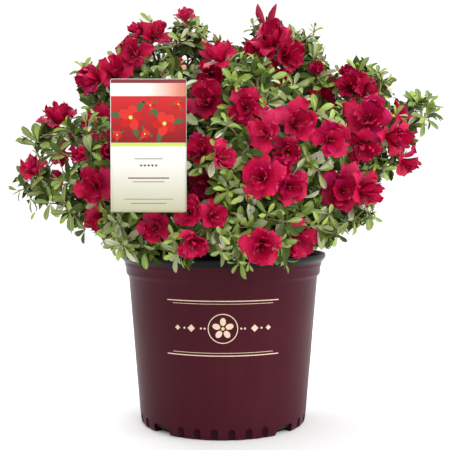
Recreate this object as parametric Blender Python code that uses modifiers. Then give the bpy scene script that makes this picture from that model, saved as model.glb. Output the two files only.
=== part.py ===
"""Azalea shrub in a nursery pot.

A wide dome of leafy, flowering shoots stands on one short woody stem, in a tapered plastic
pot filled with potting mix. Metres, +Z up. The origin is the middle of the pot's flat
underside, and the shrub's show side, where its care tag hangs, faces -Y.
"""

import math
import random

import bmesh
import bpy
from mathutils import Matrix, Vector
from mathutils.bvhtree import BVHTree

# ---------------------------------------------------------------- driving dimensions

GAP = 0.0003  # between pieces that rest on or in each other

SLIVER = 0.00001  # fused foliage keeps no edge shorter than this

# The pot: an 11 inch nursery container, its wall drawn in by a degree of taper.
POT_HEIGHT = 0.228
RIM_RADIUS = 0.138
RIM_EDGE = 0.005  # height of the rim's outer edge
COLLAR_RADIUS = 0.1315
COLLAR_TOP = 0.214
COLLAR_FOOT = 0.202
SHOULDER_RADIUS = 0.1272
SHOULDER_TOP = 0.197
FOOT_RADIUS = 0.1118
FOOT_CURL = 0.008  # the wall's foot curls in over this height
BASE_RADIUS = 0.1075
WALL = 0.0024
FOOT_WALL = 0.0050
FLOOR = 0.0035
POT_STEPS = 36
MIX_STEPS = 18

DRAIN_SLOTS = 4
DRAIN_SLOT_SIZE = (0.025, 0.030, 0.010)  # along the wall, through it, height
FLUTES_PER_SIDE = 6
FLUTE_PITCH = math.radians(11.25)
FLUTE_RADIUS = 0.0042  # at its foot, tapering to a third of that
FLUTE_HEIGHT = 0.017
FLUTE_SHIFT = 0.0012  # a flute's axis lies this far outside the wall's foot
FLUTE_LEAN = math.radians(8)
CUTTER_OVERHANG = 0.003  # how far a cutter reaches below the pot's underside

# The potting mix, level near the stem and a little lower at the wall.
MIX_TOP = 0.2085
MIX_EDGE_DROP = 0.005
MIX_LEVEL_RADIUS = 0.035
MIX_SLACK = 0.0009  # from the wall, a little more than the flats of both turned pieces need

# The stem: a short trunk with a root flare and a slight lean.
TRUNK_HEIGHT = 0.050
TRUNK_FLARE_RADIUS = 0.0175
TRUNK_RADIUS = 0.0120
TRUNK_TOP_RADIUS = 0.0100
TRUNK_LEAN = 0.0030

# Boughs, stems and twigs.
BOUGH_BASE_RADIUS = 0.0031
BOUGH_TIP_RADIUS = 0.0027
BOUGH_SHARE = 0.55  # how far a bough runs from the trunk to the masses that it carries
LOWEST_TIER = 0.013  # the lowest boughs' height on the trunk
TIER_PITCH = 0.0085  # height between boughs, one above another on the trunk
KNEE_OUT = 0.45  # a bough's bend, as a share of its way out
KNEE_UP = 0.12  # and of its way up
LEAD = 0.004  # a limb runs straight for this far before it bends
HEART_SHARE = 0.30  # a stem ends this share of its mass's reach short of the middle
STEM_RADIUS = 0.00125
TWIG_SHARE = 0.85  # a twig's root, of the radius that bears it
TWIG_TAPER = 0.70  # and its tip, of its root

# Leaves grow in whorls at the shoots' ends, and blooms open between them.
LEAF_LENGTH = 0.040
LEAF_HALF_ANGLE = 0.38  # of the widest part, seen from the whorl's middle
LEAF_WIDEST = 0.64  # where a leaf is widest, along its length
LEAF_LIFT = (12, 48)  # degrees by which a whorl's leaves rise
LEAVES_PER_WHORL = 5
WHORL_HUB = 0.0030  # radius at which neighbouring leaves part
WHORL_DEPTH = 0.0034
SHOOTS_PER_MASS = 5
SHOOTS_BEHIND = 4  # for masses whose middle lies behind this plane
BEHIND = 0.050
GROWTH_SEED = 4
TRIES = 5  # growths of a mass before it is left out
DIRECTIONS = 60  # tried for each mass's leafy shoots, in turn
MASS_TURN = 0.37  # of a whole turn, by which each mass's directions differ from the last one's
OUTWARD_PULL = 3  # a shoot's head faces its own way out this much more than the crown's
LEAST_HEAD = 0.4  # a leaf's or bloom's size if it stopped right at its mass's middle
INSETS = [1.0 - 0.04 * step for step in range(12)]  # shares of the way out, tried in turn
SHOOT_ANGLE = math.radians(48)  # least angle between two shoots' ways out of their mass
STEM_ANGLE = math.radians(50)  # least angle between a shoot and the mass's own stem
SHARPEST_FORK = math.radians(80)
FORK_SHARES = (0.45, 0.75)  # where later twigs leave a twig
BLOOM_RADIUS = 0.027
BLOOM_INSET = 0.012  # a bloom's rim lies this far inside its mass's reach
BLOOM_TUBE = 0.0022

# The care tag: a plain card on a loop round a twig.
TAG_SIZE = (0.081, 0.0008, 0.142)
TAG_CENTRE = Vector((-0.0790, -0.2500, 0.3580))
TAG_HOOK_HEIGHT = 0.392
TAG_RING_RADIUS = 0.0026
TAG_RING_WIRE = 0.0007
TAG_TWIG_RADIUS = 0.0015
TAG_TWIG_BELOW = 0.022
TAG_TWIG_ABOVE = 0.008
TAG_BEARER = "centre_left"

GREEN = (0.060, 0.150, 0.035)
CRIMSON = (0.560, 0.010, 0.060)
BARK = (0.120, 0.080, 0.050)

# Each mass of foliage: its middle, its reach, and the directions of its blooms. A direction
# is (turn, rise) in degrees: turn 0 faces -Y, 90 faces +X, and rise 90 points up.
MASSES = {
    "crest": ((0.064, -0.035, 0.503), 0.064, [(-30, -25), (5, 5), (20, -30), (5, -65)]),
    "peak_left": ((-0.047, -0.015, 0.500), 0.062, [(-35, 50), (-20, -40)]),
    "shoulder_left": ((-0.116, 0.000, 0.486), 0.062, [(-5, 50), (10, 10)]),
    "left_upper": ((-0.170, -0.035, 0.437), 0.062, [(5, 20), (60, 40), (20, -55)]),
    "left_mid": ((-0.226, 0.000, 0.385), 0.062, [(10, 25)]),
    "left_tip": ((-0.238, -0.025, 0.318), 0.060, [(-10, 30)]),
    "left_low": ((-0.176, -0.065, 0.283), 0.060, [(40, -25)]),
    "left_front": ((-0.165, -0.110, 0.345), 0.064, [(20, -35), (0, 5)]),
    "low_front_left": ((-0.095, -0.160, 0.258), 0.057, [(25, 20)]),
    "front_left": ((-0.025, -0.190, 0.265), 0.058, [(-20, 30), (-15, -20)]),
    "front_right": ((0.050, -0.185, 0.258), 0.058, [(-10, -5)]),
    "low_front_right": ((0.110, -0.130, 0.258), 0.055, [(-35, -5)]),
    "right_low": ((0.165, -0.090, 0.295), 0.061, [(-30, 20), (15, 20)]),
    "right_front": ((0.180, -0.060, 0.376), 0.064, [(0, 20), (70, 35), (40, -10)]),
    "right_tip": ((0.249, 0.005, 0.400), 0.062, [(0, -60)]),
    "right_upper": ((0.182, 0.000, 0.437), 0.062, [(-10, 10), (25, 0)]),
    "upper_right": ((0.117, 0.000, 0.487), 0.062, [(0, -10)]),
    "centre_upper": ((0.025, -0.140, 0.415), 0.064, [(5, -15), (-60, 55)]),
    "centre_upper_left": ((-0.060, -0.120, 0.410), 0.064, [(55, 10), (-25, 20)]),
    "centre_right": ((0.090, -0.150, 0.365), 0.064, [(-5, 30), (40, 5)]),
    "centre": ((0.020, -0.200, 0.345), 0.062, [(35, 30), (35, -25), (-25, 0)]),
    "centre_left": ((-0.070, -0.178, 0.335), 0.064, [(75, 25), (75, -20)]),
    "right_side": ((0.200, 0.010, 0.325), 0.055, [(90, 10)]),
    "back_left": ((-0.185, 0.090, 0.380), 0.064, [(-120, 10), (-170, 30)]),
    "back_left_low": ((-0.150, 0.125, 0.285), 0.060, [(-140, 5)]),
    "back_left_high": ((-0.105, 0.095, 0.455), 0.062, [(-150, 40), (-110, -10)]),
    "back_mid": ((-0.015, 0.180, 0.375), 0.066, [(180, 20), (145, -15)]),
    "back_low": ((-0.055, 0.180, 0.275), 0.060, [(-165, 10)]),
    "back_right_low": ((0.065, 0.170, 0.270), 0.060, [(160, 5)]),
    "back_right": ((0.125, 0.140, 0.365), 0.066, [(150, 15), (110, 20)]),
    "back_side_low": ((0.160, 0.085, 0.285), 0.058, [(115, 10)]),
    "back_top": ((0.015, 0.085, 0.475), 0.066, [(170, 25), (-160, 65)]),
    "back_right_high": ((0.120, 0.098, 0.445), 0.060, [(130, 40)]),
    "heart_upper": ((0.060, -0.055, 0.410), 0.058, []),
    "heart_low": ((0.025, -0.085, 0.305), 0.056, []),
}

# Each bough: the tier at which it leaves the trunk, and the masses that it carries.
BOUGHS = {
    "bough_crest": (2, ["crest", "upper_right"]),
    "bough_peak": (2, ["peak_left", "shoulder_left"]),
    "bough_left_high": (1, ["left_upper", "left_mid"]),
    "bough_left_low": (0, ["left_tip", "left_low", "left_front"]),
    "bough_front_left": (0, ["low_front_left", "centre_left"]),
    "bough_front": (1, ["front_left", "centre"]),
    "bough_front_right": (0, ["front_right", "low_front_right", "centre_right"]),
    "bough_right_low": (0, ["right_low", "right_side"]),
    "bough_right": (1, ["right_front", "right_tip", "right_upper"]),
    "bough_centre": (2, ["centre_upper", "centre_upper_left"]),
    "bough_heart": (3, ["heart_upper", "heart_low"]),
    "bough_back_left": (0, ["back_left", "back_left_low", "back_left_high"]),
    "bough_back": (1, ["back_mid", "back_low", "back_top"]),
    "bough_back_right": (0, ["back_right", "back_right_low", "back_side_low", "back_right_high"]),
}

CROWN_HEART = Vector((0.0, 0.0, 0.300))


# ---------------------------------------------------------------- scene and materials

for old in list(bpy.data.objects):
    bpy.data.objects.remove(old)
shrub = bpy.data.collections.new("azalea_shrub")
cutters = bpy.data.collections.new("cutters")
for collection in (shrub, cutters):
    bpy.context.scene.collection.children.link(collection)


def material(name, colour, roughness):
    made = bpy.data.materials.new(name)
    made.use_nodes = True
    shader = made.node_tree.nodes["Principled BSDF"]
    shader.inputs["Base Color"].default_value = (*colour, 1.0)
    shader.inputs["Roughness"].default_value = roughness
    shader.inputs["Metallic"].default_value = 0.0
    return made


MATERIALS = {
    "pot": material("maroon_plastic", (0.075, 0.018, 0.028), 0.35),
    "potting_mix": material("potting_mix", (0.050, 0.032, 0.022), 0.95),
    "bark": material("bark", BARK, 0.85),
    "leaf": material("leaf", GREEN, 0.45),
    "bloom": material("bloom", CRIMSON, 0.55),
    "card": material("tag_card", (0.850, 0.830, 0.740), 0.30),
}


def add_object(name, mesh, materials, collection=shrub):
    made = bpy.data.objects.new(name, mesh)
    for key in materials:
        if key not in mesh.materials:
            mesh.materials.append(MATERIALS[key])
    collection.objects.link(made)
    return made


def evaluated_mesh(obj):
    """The object's shape with its modifiers applied, as a mesh in the object's own space."""
    bpy.context.view_layer.update()
    return bpy.data.meshes.new_from_object(obj.evaluated_get(bpy.context.evaluated_depsgraph_get()))


def mesh_from(bm, name):
    mesh = bpy.data.meshes.new(name)
    bm.to_mesh(mesh)
    bm.free()
    return mesh


# ---------------------------------------------------------------- turned pieces


def turned(name, profile, key, steps):
    """A solid of revolution about Z. The profile runs (radius, height), down its outer side."""
    mesh = bpy.data.meshes.new(name)
    edges = [(i, i + 1) for i in range(len(profile) - 1)]
    mesh.from_pydata([(radius, 0.0, height) for radius, height in profile], edges, [])
    made = add_object(name, mesh, [key])
    screw = made.modifiers.new("turn", "SCREW")
    screw.steps = screw.render_steps = steps
    screw.use_merge_vertices = True
    screw.merge_threshold = 0.0001
    screw.use_smooth_shade = True
    return made


def pot_outside():
    """The pot's outer wall from the rim's top down to the middle of its underside."""
    return [
        (RIM_RADIUS, POT_HEIGHT),
        (RIM_RADIUS, POT_HEIGHT - RIM_EDGE),
        (COLLAR_RADIUS, COLLAR_TOP),
        (COLLAR_RADIUS - 0.0008, COLLAR_FOOT),
        (SHOULDER_RADIUS, SHOULDER_TOP),
        (FOOT_RADIUS, FOOT_CURL),
        (BASE_RADIUS, 0.0),
        (0.0, 0.0),
    ]


def pot_inside():
    """The inner wall from the middle of the floor up to the rim's inner edge."""
    return [
        (0.0, FLOOR),
        (FOOT_RADIUS - FOOT_WALL, FLOOR),
        (SHOULDER_RADIUS - WALL, SHOULDER_TOP),
        (COLLAR_RADIUS - WALL, COLLAR_TOP),
        (RIM_RADIUS - 2 * WALL, POT_HEIGHT - WALL / 2),
    ]


def cut_foot(pot):
    """Cuts the drain slots through the corner of the pot's foot, and the flutes between them."""
    side = 2 * math.pi / DRAIN_SLOTS
    for slot in range(DRAIN_SLOTS):
        bm = bmesh.new()
        bmesh.ops.create_cube(bm, size=1.0)
        width, depth, height = DRAIN_SLOT_SIZE
        bmesh.ops.scale(bm, vec=(width, depth, height + CUTTER_OVERHANG), verts=bm.verts)
        add_cutter(bm, f"drain_slot_{slot}", FOOT_RADIUS, side * (slot + 0.5), height, 0.0)
        for flute in range(FLUTES_PER_SIDE):
            offset = (flute - (FLUTES_PER_SIDE - 1) / 2) * FLUTE_PITCH
            bm = bmesh.new()
            bmesh.ops.create_cone(
                bm, cap_ends=True, segments=6, radius1=FLUTE_RADIUS, radius2=FLUTE_RADIUS / 3,
                depth=FLUTE_HEIGHT + CUTTER_OVERHANG,
            )
            turn = side * slot + offset
            add_cutter(
                bm, f"flute_{slot}_{flute}", FOOT_RADIUS + FLUTE_SHIFT, turn, FLUTE_HEIGHT, FLUTE_LEAN
            )
    cut = pot.modifiers.new("drains_and_flutes", "BOOLEAN")
    cut.operation = "DIFFERENCE"
    cut.operand_type = "COLLECTION"
    cut.collection = cutters


def add_cutter(bm, name, radius, turn, top, lean):
    """A cutter stood at the pot's foot: turn is from -Y, and lean tips its top outwards."""
    middle = (top - CUTTER_OVERHANG) / 2
    place = Matrix.Rotation(turn, 4, "Z") @ Matrix.Translation((0.0, -radius, middle))
    place = place @ Matrix.Rotation(lean, 4, "X")
    bmesh.ops.transform(bm, matrix=place, verts=bm.verts)
    cutter = bpy.data.objects.new(name, mesh_from(bm, name))
    cutters.objects.link(cutter)
    cutter.hide_render = True
    cutter.display_type = "WIRE"


def make_potting_mix():
    edge = MIX_TOP - MIX_EDGE_DROP
    inner = [(radius - MIX_SLACK, height) for radius, height in pot_inside()]
    wall_top = Vector(inner[2]).lerp(Vector(inner[3]), (edge - SHOULDER_TOP) / (COLLAR_TOP - SHOULDER_TOP))
    profile = [
        (0.0, MIX_TOP),
        (MIX_LEVEL_RADIUS, MIX_TOP),
        (wall_top.x, edge),
        inner[2],
        (inner[1][0], FLOOR + GAP),
        (0.0, FLOOR + GAP),
    ]
    return turned("potting_mix", profile, "potting_mix", MIX_STEPS)


# ---------------------------------------------------------------- limbs


def limb_mesh(name, points, radii, sides):
    """A limb along the points: a bevelled poly curve made a mesh, with its caps welded on."""
    curve = bpy.data.curves.new(name, "CURVE")
    curve.dimensions = "3D"
    curve.bevel_depth = 1.0
    curve.bevel_resolution = sides // 2 - 2
    curve.use_fill_caps = True
    spline = curve.splines.new("POLY")
    spline.points.add(len(points) - 1)
    for place, point, radius in zip(spline.points, points, radii):
        place.co = (*point, 1.0)
        place.radius = radius
    guide = bpy.data.objects.new(name + "_guide", curve)
    bpy.context.scene.collection.objects.link(guide)
    mesh = evaluated_mesh(guide)
    bpy.data.objects.remove(guide)
    bm = bmesh.new()
    bm.from_mesh(mesh)
    bmesh.ops.remove_doubles(bm, verts=bm.verts, dist=0.00002)
    bmesh.ops.recalc_face_normals(bm, faces=bm.faces)
    bm.to_mesh(mesh)
    bm.free()
    mesh.materials.clear()
    return mesh


TRUNK_FOOT = Vector((0.0, 0.0, MIX_TOP + GAP))
TRUNK_PROFILE = [
    (0.00, TRUNK_FLARE_RADIUS),
    (0.10, TRUNK_RADIUS * 1.15),
    (0.30, TRUNK_RADIUS),
    (0.88, TRUNK_TOP_RADIUS),
    (1.00, TRUNK_TOP_RADIUS * 0.6),
]


def trunk_axis(share):
    """The trunk's middle at a share of its height: it leans towards +X as it rises."""
    return TRUNK_FOOT + Vector((TRUNK_LEAN * share * share, 0.0, TRUNK_HEIGHT * share))


def make_trunk():
    points = [trunk_axis(share) for share, _ in TRUNK_PROFILE]
    mesh = limb_mesh("trunk", points, [radius for _, radius in TRUNK_PROFILE], 12)
    return add_object("trunk", mesh, ["bark"])


def trunk_width(share):
    """The trunk's radius at a share of its height."""
    for (low, wide), (high, narrow) in zip(TRUNK_PROFILE, TRUNK_PROFILE[1:]):
        if share <= high:
            return wide + (narrow - wide) * (share - low) / (high - low)
    return TRUNK_PROFILE[-1][1]


def bough_route(tier, carried):
    """Where a bough runs: level out of the trunk, then up and out towards its masses."""
    middle = sum((Vector(MASSES[name][0]) for name in carried), Vector()) / len(carried)
    share = (LOWEST_TIER + tier * TIER_PITCH) / TRUNK_HEIGHT
    root = trunk_axis(share)
    level = Vector((middle.x, middle.y, 0.0)).normalized()
    start = root + level * (trunk_width(share - 1.2 * BOUGH_BASE_RADIUS / TRUNK_HEIGHT) + GAP)
    tip = start.lerp(middle, BOUGH_SHARE)
    spread = Vector((tip.x - start.x, tip.y - start.y, 0.0))
    knee = start + spread * KNEE_OUT + Vector((0.0, 0.0, (tip.z - start.z) * KNEE_UP))
    clear = start + level * LEAD
    arc = [clear.lerp(knee, t).lerp(knee.lerp(tip, t), t) for t in (0.0, 0.33, 0.67, 1.0)]
    return [start] + arc


def stem_routes(route, carried):
    """One stem for each mass, side by side across the bough's tip, each on its mass's side."""
    tip, heading = route[-1], (route[-1] - route[-2]).normalized()
    across = heading.orthogonal().normalized()
    up = heading.cross(across)
    ways = {name: Vector(MASSES[name][0]) - tip for name in carried}
    angles = {name: math.atan2(way.dot(up), way.dot(across)) for name, way in ways.items()}
    order = sorted(carried, key=angles.get)
    pitch = 2 * math.pi / len(order)
    shift = sum(angles[name] - pitch * i for i, name in enumerate(order)) / len(order)
    ring = (STEM_RADIUS + GAP) / math.sin(math.pi / max(len(order), 2)) * 1.15
    routes = {}
    for i, name in enumerate(order):
        turn = shift + pitch * i
        side = (across * math.cos(turn) + up * math.sin(turn)) * (ring if len(order) > 1 else 0.0)
        start = tip + heading * GAP + side
        middle, reach = Vector(MASSES[name][0]), MASSES[name][1]
        clear = start + heading * LEAD + side * 0.5
        heart = middle + (clear - middle).normalized() * reach * HEART_SHARE
        bend = clear.lerp(heart, 0.5) + Vector((0.0, 0.0, LEAD))
        routes[name] = [start, clear, bend, heart]
    return routes


# ---------------------------------------------------------------- leaves, blooms and twigs


def aimed(place, heading, spin):
    """Stands a piece made along +Z at a place, pointing along the heading."""
    turn = Vector(heading).to_track_quat("Z", "Y").to_matrix().to_4x4()
    return Matrix.Translation(place) @ turn @ Matrix.Rotation(spin, 4, "Z")


def leaf_whorl(rng, length):
    """Lozenge leaves round a shoot's end, each lifted by its own angle: four rim points a leaf."""
    bm = bmesh.new()
    bmesh.ops.create_cone(
        bm, cap_ends=True, segments=4 * LEAVES_PER_WHORL, radius1=1.0, radius2=0.0, depth=1.0
    )
    apex = max(bm.verts, key=lambda v: v.co.z)
    rim = sorted((v for v in bm.verts if v is not apex), key=lambda v: math.atan2(v.co.y, v.co.x))
    pitch = 2 * math.pi / LEAVES_PER_WHORL
    for leaf in range(LEAVES_PER_WHORL):
        nook, first, point, second = rim[4 * leaf:4 * leaf + 4]
        turn = pitch * leaf + rng.uniform(-0.15, 0.15)
        size = length * rng.uniform(0.82, 1.0)
        lift = math.radians(rng.uniform(*LEAF_LIFT))
        edge = [
            (first, turn - LEAF_HALF_ANGLE, LEAF_WIDEST),
            (point, turn, 1.0),
            (second, turn + LEAF_HALF_ANGLE, LEAF_WIDEST),
        ]
        for vertex, angle, share in edge:
            out = size * share * math.cos(lift)
            vertex.co = Vector((out * math.cos(angle), out * math.sin(angle), size * share * math.sin(lift)))
        angle = pitch * (leaf - 0.5)
        nook.co = Vector((math.cos(angle), math.sin(angle), 0.0)) * WHORL_HUB
    apex.co = Vector((0.0, 0.0, WHORL_DEPTH))
    underside = max(bm.faces, key=lambda f: len(f.verts))
    for leaf in range(LEAVES_PER_WHORL):
        nooks = (rim[4 * leaf], rim[(4 * leaf + 4) % len(rim)])
        parts = bmesh.utils.face_split(underside, *nooks)
        underside = max((underside, parts[0]), key=lambda f: len(f.verts))
    bmesh.ops.triangulate(bm, faces=bm.faces)
    return bm


def bloom(rng, radius):
    """A funnel whose rim swells into five petals: a tube below, and a throat sunk in the middle."""
    bm = bmesh.new()
    bmesh.ops.create_cone(bm, cap_ends=True, segments=5, radius1=0.1, radius2=1.0, depth=1.0)
    mouth = max(bm.faces, key=lambda f: f.calc_center_median().z)
    split = bmesh.ops.subdivide_edges(bm, edges=mouth.edges[:], cuts=1)
    petals = [v for v in split["geom_inner"] if isinstance(v, bmesh.types.BMVert)]
    for vertex in bm.verts:
        way = Vector((vertex.co.x, vertex.co.y, 0.0)).normalized()
        if vertex in petals:
            vertex.co = way * radius * rng.uniform(0.93, 1.0)
            vertex.co.z = radius * rng.uniform(0.00, 0.16)
        elif vertex.co.z > 0.0:
            vertex.co = way * radius * 0.80
            vertex.co.z = -0.20 * radius
        else:
            vertex.co = way * BLOOM_TUBE
            vertex.co.z = -0.80 * radius
    mouth = max(bm.faces, key=lambda f: len(f.verts))
    throat = bmesh.ops.poke(bm, faces=[mouth])["verts"][0]
    throat.co = Vector((0.0, 0.0, -0.38 * radius))
    bmesh.ops.triangulate(bm, faces=bm.faces)
    return bm


def twig(rng, start, end, base_radius):
    """A three-sided tapering twig from start to end, its root sunk a little past the start."""
    bm = bmesh.new()
    start = start - (end - start).normalized() * base_radius * rng.uniform(0.0, 0.2)
    run = end - start
    bmesh.ops.create_cone(
        bm, cap_ends=True, segments=3, radius1=base_radius, radius2=base_radius * TWIG_TAPER,
        depth=run.length,
    )
    spin = rng.uniform(0, 2 * math.pi)
    bmesh.ops.transform(bm, matrix=aimed(start.lerp(end, 0.5), run, spin), verts=bm.verts)
    return bm


# ---------------------------------------------------------------- growing a mass


def compass(turn, rise):
    """The direction that a turn from -Y towards +X and a rise from level give, in degrees."""
    turn, rise = math.radians(turn), math.radians(rise)
    return Vector((math.sin(turn) * math.cos(rise), -math.cos(turn) * math.cos(rise), math.sin(rise)))


def spread_direction(step, offset):
    """The step-th of an endless series of directions that stay evenly spread at any length."""
    height = 1.0 - 2.0 * ((0.5 + step * 0.7548776662) % 1.0)
    turn = 2 * math.pi * ((offset + step * 0.5698402910) % 1.0)
    level = math.sqrt(1.0 - height * height)
    return Vector((level * math.cos(turn), level * math.sin(turn), height))


def in_space(points, name):
    """Whether the points lie in a mass's own space: its reach, cut flat against each neighbour's."""
    middle, reach = Vector(MASSES[name][0]), MASSES[name][1]
    if any((p - middle).length > reach for p in points):
        return False
    for other, (place, far, _) in MASSES.items():
        away = Vector(place) - middle
        if other == name or away.length > reach + far:
            continue
        limit = (away.length ** 2 + reach ** 2 - far ** 2) / 2 - 2 * GAP * away.length
        if any((p - middle).dot(away) > limit for p in points):
            return False
    return True


def tree_of(bm):
    """The shape's surface, to test what it crosses. Its points come too."""
    bm.verts.ensure_lookup_table()
    points = [v.co.copy() for v in bm.verts]
    faces = [[v.index for v in f.verts] for f in bm.faces]
    return points, BVHTree.FromPolygons(points, faces)


def joined_tree(meshes):
    """The surfaces of several meshes as one, to test what crosses any of them."""
    points, faces = [], []
    for mesh in meshes:
        first = len(points)
        points += [v.co.copy() for v in mesh.vertices]
        faces += [[first + i for i in p.vertices] for p in mesh.polygons]
    return BVHTree.FromPolygons(points, faces)


def limb_room(name, route, radii, sides):
    """A limb's shape, a little thicker, as a mesh that only serves to keep foliage off it."""
    return limb_mesh(name + "_room", route, [radius + 2 * GAP for radius in radii], sides)


def best_fork(forks, tip):
    """The fork that a twig to this tip leaves from: the nearest that needs no sharp turn."""
    def cost(fork):
        place, heading, _ = fork
        run = tip - place
        turn = run.angle(heading, 0.0)
        return run.length + (1.0 if turn > SHARPEST_FORK else 0.0)
    return min(forks, key=cost)


def shoot_parts(kind, way, name, inset, spin, shape):
    """A bloom or a whorl at the end of its way out of a mass, and where its twig runs to."""
    rng = random.Random(shape)
    middle, reach = Vector(MASSES[name][0]), MASSES[name][1]
    heading = (way * OUTWARD_PULL + (middle - CROWN_HEART).normalized()).normalized()
    share = LEAST_HEAD + (1 - LEAST_HEAD) * inset
    if kind == "bloom":
        size = BLOOM_RADIUS * share
        place = middle + way * (reach * inset - BLOOM_INSET)
        head = bloom(rng, size)
        sink = place - heading * size * 0.65
    else:
        size = LEAF_LENGTH * share
        place = middle + way * (reach * inset - size * 0.72)
        head = leaf_whorl(rng, size)
        sink = place + heading * WHORL_DEPTH * 0.5
    bmesh.ops.transform(head, matrix=aimed(place, heading, spin), verts=head.verts)
    return head, sink


def grow_mass(seed, number, name, stem, others):
    """Twigs branch from the mass's stem, and end in its blooms and in whorls of leaves."""
    rng = random.Random(seed)
    middle = Vector(MASSES[name][0])
    wanted = SHOOTS_BEHIND if middle.y > BEHIND else SHOOTS_PER_MASS
    heart = stem[-1]
    onward = (heart - stem[-2]).normalized()
    forks = [(heart - onward * STEM_RADIUS, onward, STEM_RADIUS)]
    pieces = bpy.data.collections.new(name + "_pieces")
    stem_tree = joined_tree([limb_mesh(name + "_core", stem, [STEM_RADIUS] * len(stem), 4)])
    leafy = []
    flowery = []
    shafts = [stem_tree]
    taken = []
    ends = [("bloom", compass(*way)) for way in MASSES[name][2]]
    ends += [("leaves", (middle - CROWN_HEART).normalized())]
    ends += [("leaves", spread_direction(step, number * MASS_TURN)) for step in range(DIRECTIONS)]
    shoots = 0
    for kind, way in ends:
        if kind == "leaves":
            crowded = any(way.angle(old) < SHOOT_ANGLE for old in taken)
            if crowded or shoots == wanted or way.angle(heart - middle) < STEM_ANGLE:
                continue
        spin = rng.uniform(0, 2 * math.pi)
        shape = rng.random()
        for inset in INSETS:
            head, sink = shoot_parts(kind, way, name, inset, spin, shape)
            head_points, head_tree = tree_of(head)
            if not in_space(head_points, name) or head_tree.overlap(others):
                head.free()
                continue
            apart = shafts + (leafy if kind == "bloom" else leafy + flowery)
            if any(head_tree.overlap(tree) for tree in apart):
                head.free()
                continue
            fork, _, width = best_fork(forks, sink)
            shaft = twig(rng, fork, sink, width * TWIG_SHARE)
            _, shaft_tree = tree_of(shaft)
            if shaft_tree.overlap(others) or any(shaft_tree.overlap(tree) for tree in leafy):
                head.free()
                shaft.free()
                continue
            break
        else:
            continue
        (flowery if kind == "bloom" else leafy).append(head_tree)
        shafts.append(shaft_tree)
        taken.append(way)
        shoots += kind == "leaves"
        onward = (sink - fork).normalized()
        for share in FORK_SHARES:
            here = width * TWIG_SHARE * (1 - (1 - TWIG_TAPER) * share)
            forks.append((fork.lerp(sink, share), onward, here))
        label = f"{name}_{kind}_{len(taken)}"
        add_object(label, mesh_from(head, label), ["bloom" if kind == "bloom" else "leaf"], pieces)
        add_object(label + "_twig", mesh_from(shaft, label + "_twig"), ["bark"], pieces)
    if name == TAG_BEARER:
        grow_tag_twig(rng, forks, pieces)
    return pieces


def grow_tag_twig(rng, forks, pieces):
    """The twig that bears the care tag: out of the mass to below the tag's ring, then up through it."""
    foot = tag_hook() - Vector((0.0, 0.0, TAG_TWIG_BELOW))
    top = tag_hook() + Vector((0.0, 0.0, TAG_TWIG_ABOVE))
    fork, _, _ = best_fork(forks, foot)
    for label, start, end in (("reach", fork, foot), ("rise", foot - Vector((0.0, 0.0, 0.001)), top)):
        shaft = twig(rng, start, end, TAG_TWIG_RADIUS)
        add_object("tag_twig_" + label, mesh_from(shaft, "tag_twig_" + label), ["bark"], pieces)


def fuse(stem, pieces):
    """Joins a mass's stem, twigs, leaves and blooms into one solid, and removes the pieces."""
    join = stem.modifiers.new("grown_together", "BOOLEAN")
    join.operation = "UNION"
    join.operand_type = "COLLECTION"
    join.collection = pieces
    join.solver = "MANIFOLD"
    join.material_mode = "TRANSFER"
    mesh = evaluated_mesh(stem)
    stem.modifiers.clear()
    stem.data = mesh
    for piece in list(pieces.objects):
        bpy.data.objects.remove(piece)
    bpy.data.collections.remove(pieces)


def clean(mesh):
    """Keeps the mesh's largest shell, welds its slivers, and says whether it is a sound solid."""
    bm = bmesh.new()
    bm.from_mesh(mesh)
    bmesh.ops.triangulate(bm, faces=bm.faces)
    bmesh.ops.remove_doubles(bm, verts=bm.verts, dist=SLIVER)
    bmesh.ops.dissolve_degenerate(bm, edges=bm.edges, dist=SLIVER)
    bmesh.ops.triangulate(bm, faces=bm.faces)
    left = set(bm.verts)
    shells = []
    while left:
        reached = [left.pop()]
        shell = set(reached)
        while reached:
            vertex = reached.pop()
            beside = {link.other_vert(vertex) for link in vertex.link_edges} - shell
            shell |= beside
            reached += beside
        left -= shell
        shells.append(shell)
    shells.sort(key=len)
    scraps = [vertex for shell in shells[:-1] for vertex in shell]
    bmesh.ops.delete(bm, geom=scraps, context="VERTS")
    sound = all(link.is_manifold and link.is_contiguous for link in bm.edges)
    bm.to_mesh(mesh)
    bm.free()
    return sound


def make_mass(number, name, stem, others):
    """One mass of foliage. Where the union isn't a sound solid, it is grown again from another seed."""
    for attempt in range(TRIES):
        body = limb_mesh(name, stem, [STEM_RADIUS] * len(stem), 4)
        mass = add_object(name, body, ["bark"])
        seed = GROWTH_SEED * 1000 + number * 10 + attempt
        fuse(mass, grow_mass(seed, number, name, stem, others))
        if clean(mass.data):
            break
        bpy.data.objects.remove(mass)


# ---------------------------------------------------------------- the care tag


def make_tag():
    """The card, with the ring on its back that holds it to a twig fused on."""
    bm = bmesh.new()
    bmesh.ops.create_cube(bm, size=1.0)
    bmesh.ops.scale(bm, vec=TAG_SIZE, verts=bm.verts)
    bmesh.ops.translate(bm, vec=TAG_CENTRE, verts=bm.verts)
    card = add_object("care_tag", mesh_from(bm, "care_tag"), ["card"])
    bpy.ops.mesh.primitive_torus_add(
        major_segments=12, minor_segments=4, major_radius=TAG_RING_RADIUS, minor_radius=TAG_RING_WIRE,
        location=tag_hook(),
    )
    ring = bpy.context.active_object
    join = card.modifiers.new("ring", "BOOLEAN")
    join.operation = "UNION"
    join.object = ring
    mesh = evaluated_mesh(card)
    card.modifiers.clear()
    card.data = mesh
    bpy.data.objects.remove(ring)
    return card


def tag_hook():
    """The middle of the tag's ring, behind its card."""
    back = TAG_CENTRE.y + TAG_SIZE[1] / 2
    return Vector((TAG_CENTRE.x, back + TAG_RING_RADIUS, TAG_HOOK_HEIGHT))


# ---------------------------------------------------------------- building the shrub

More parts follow.
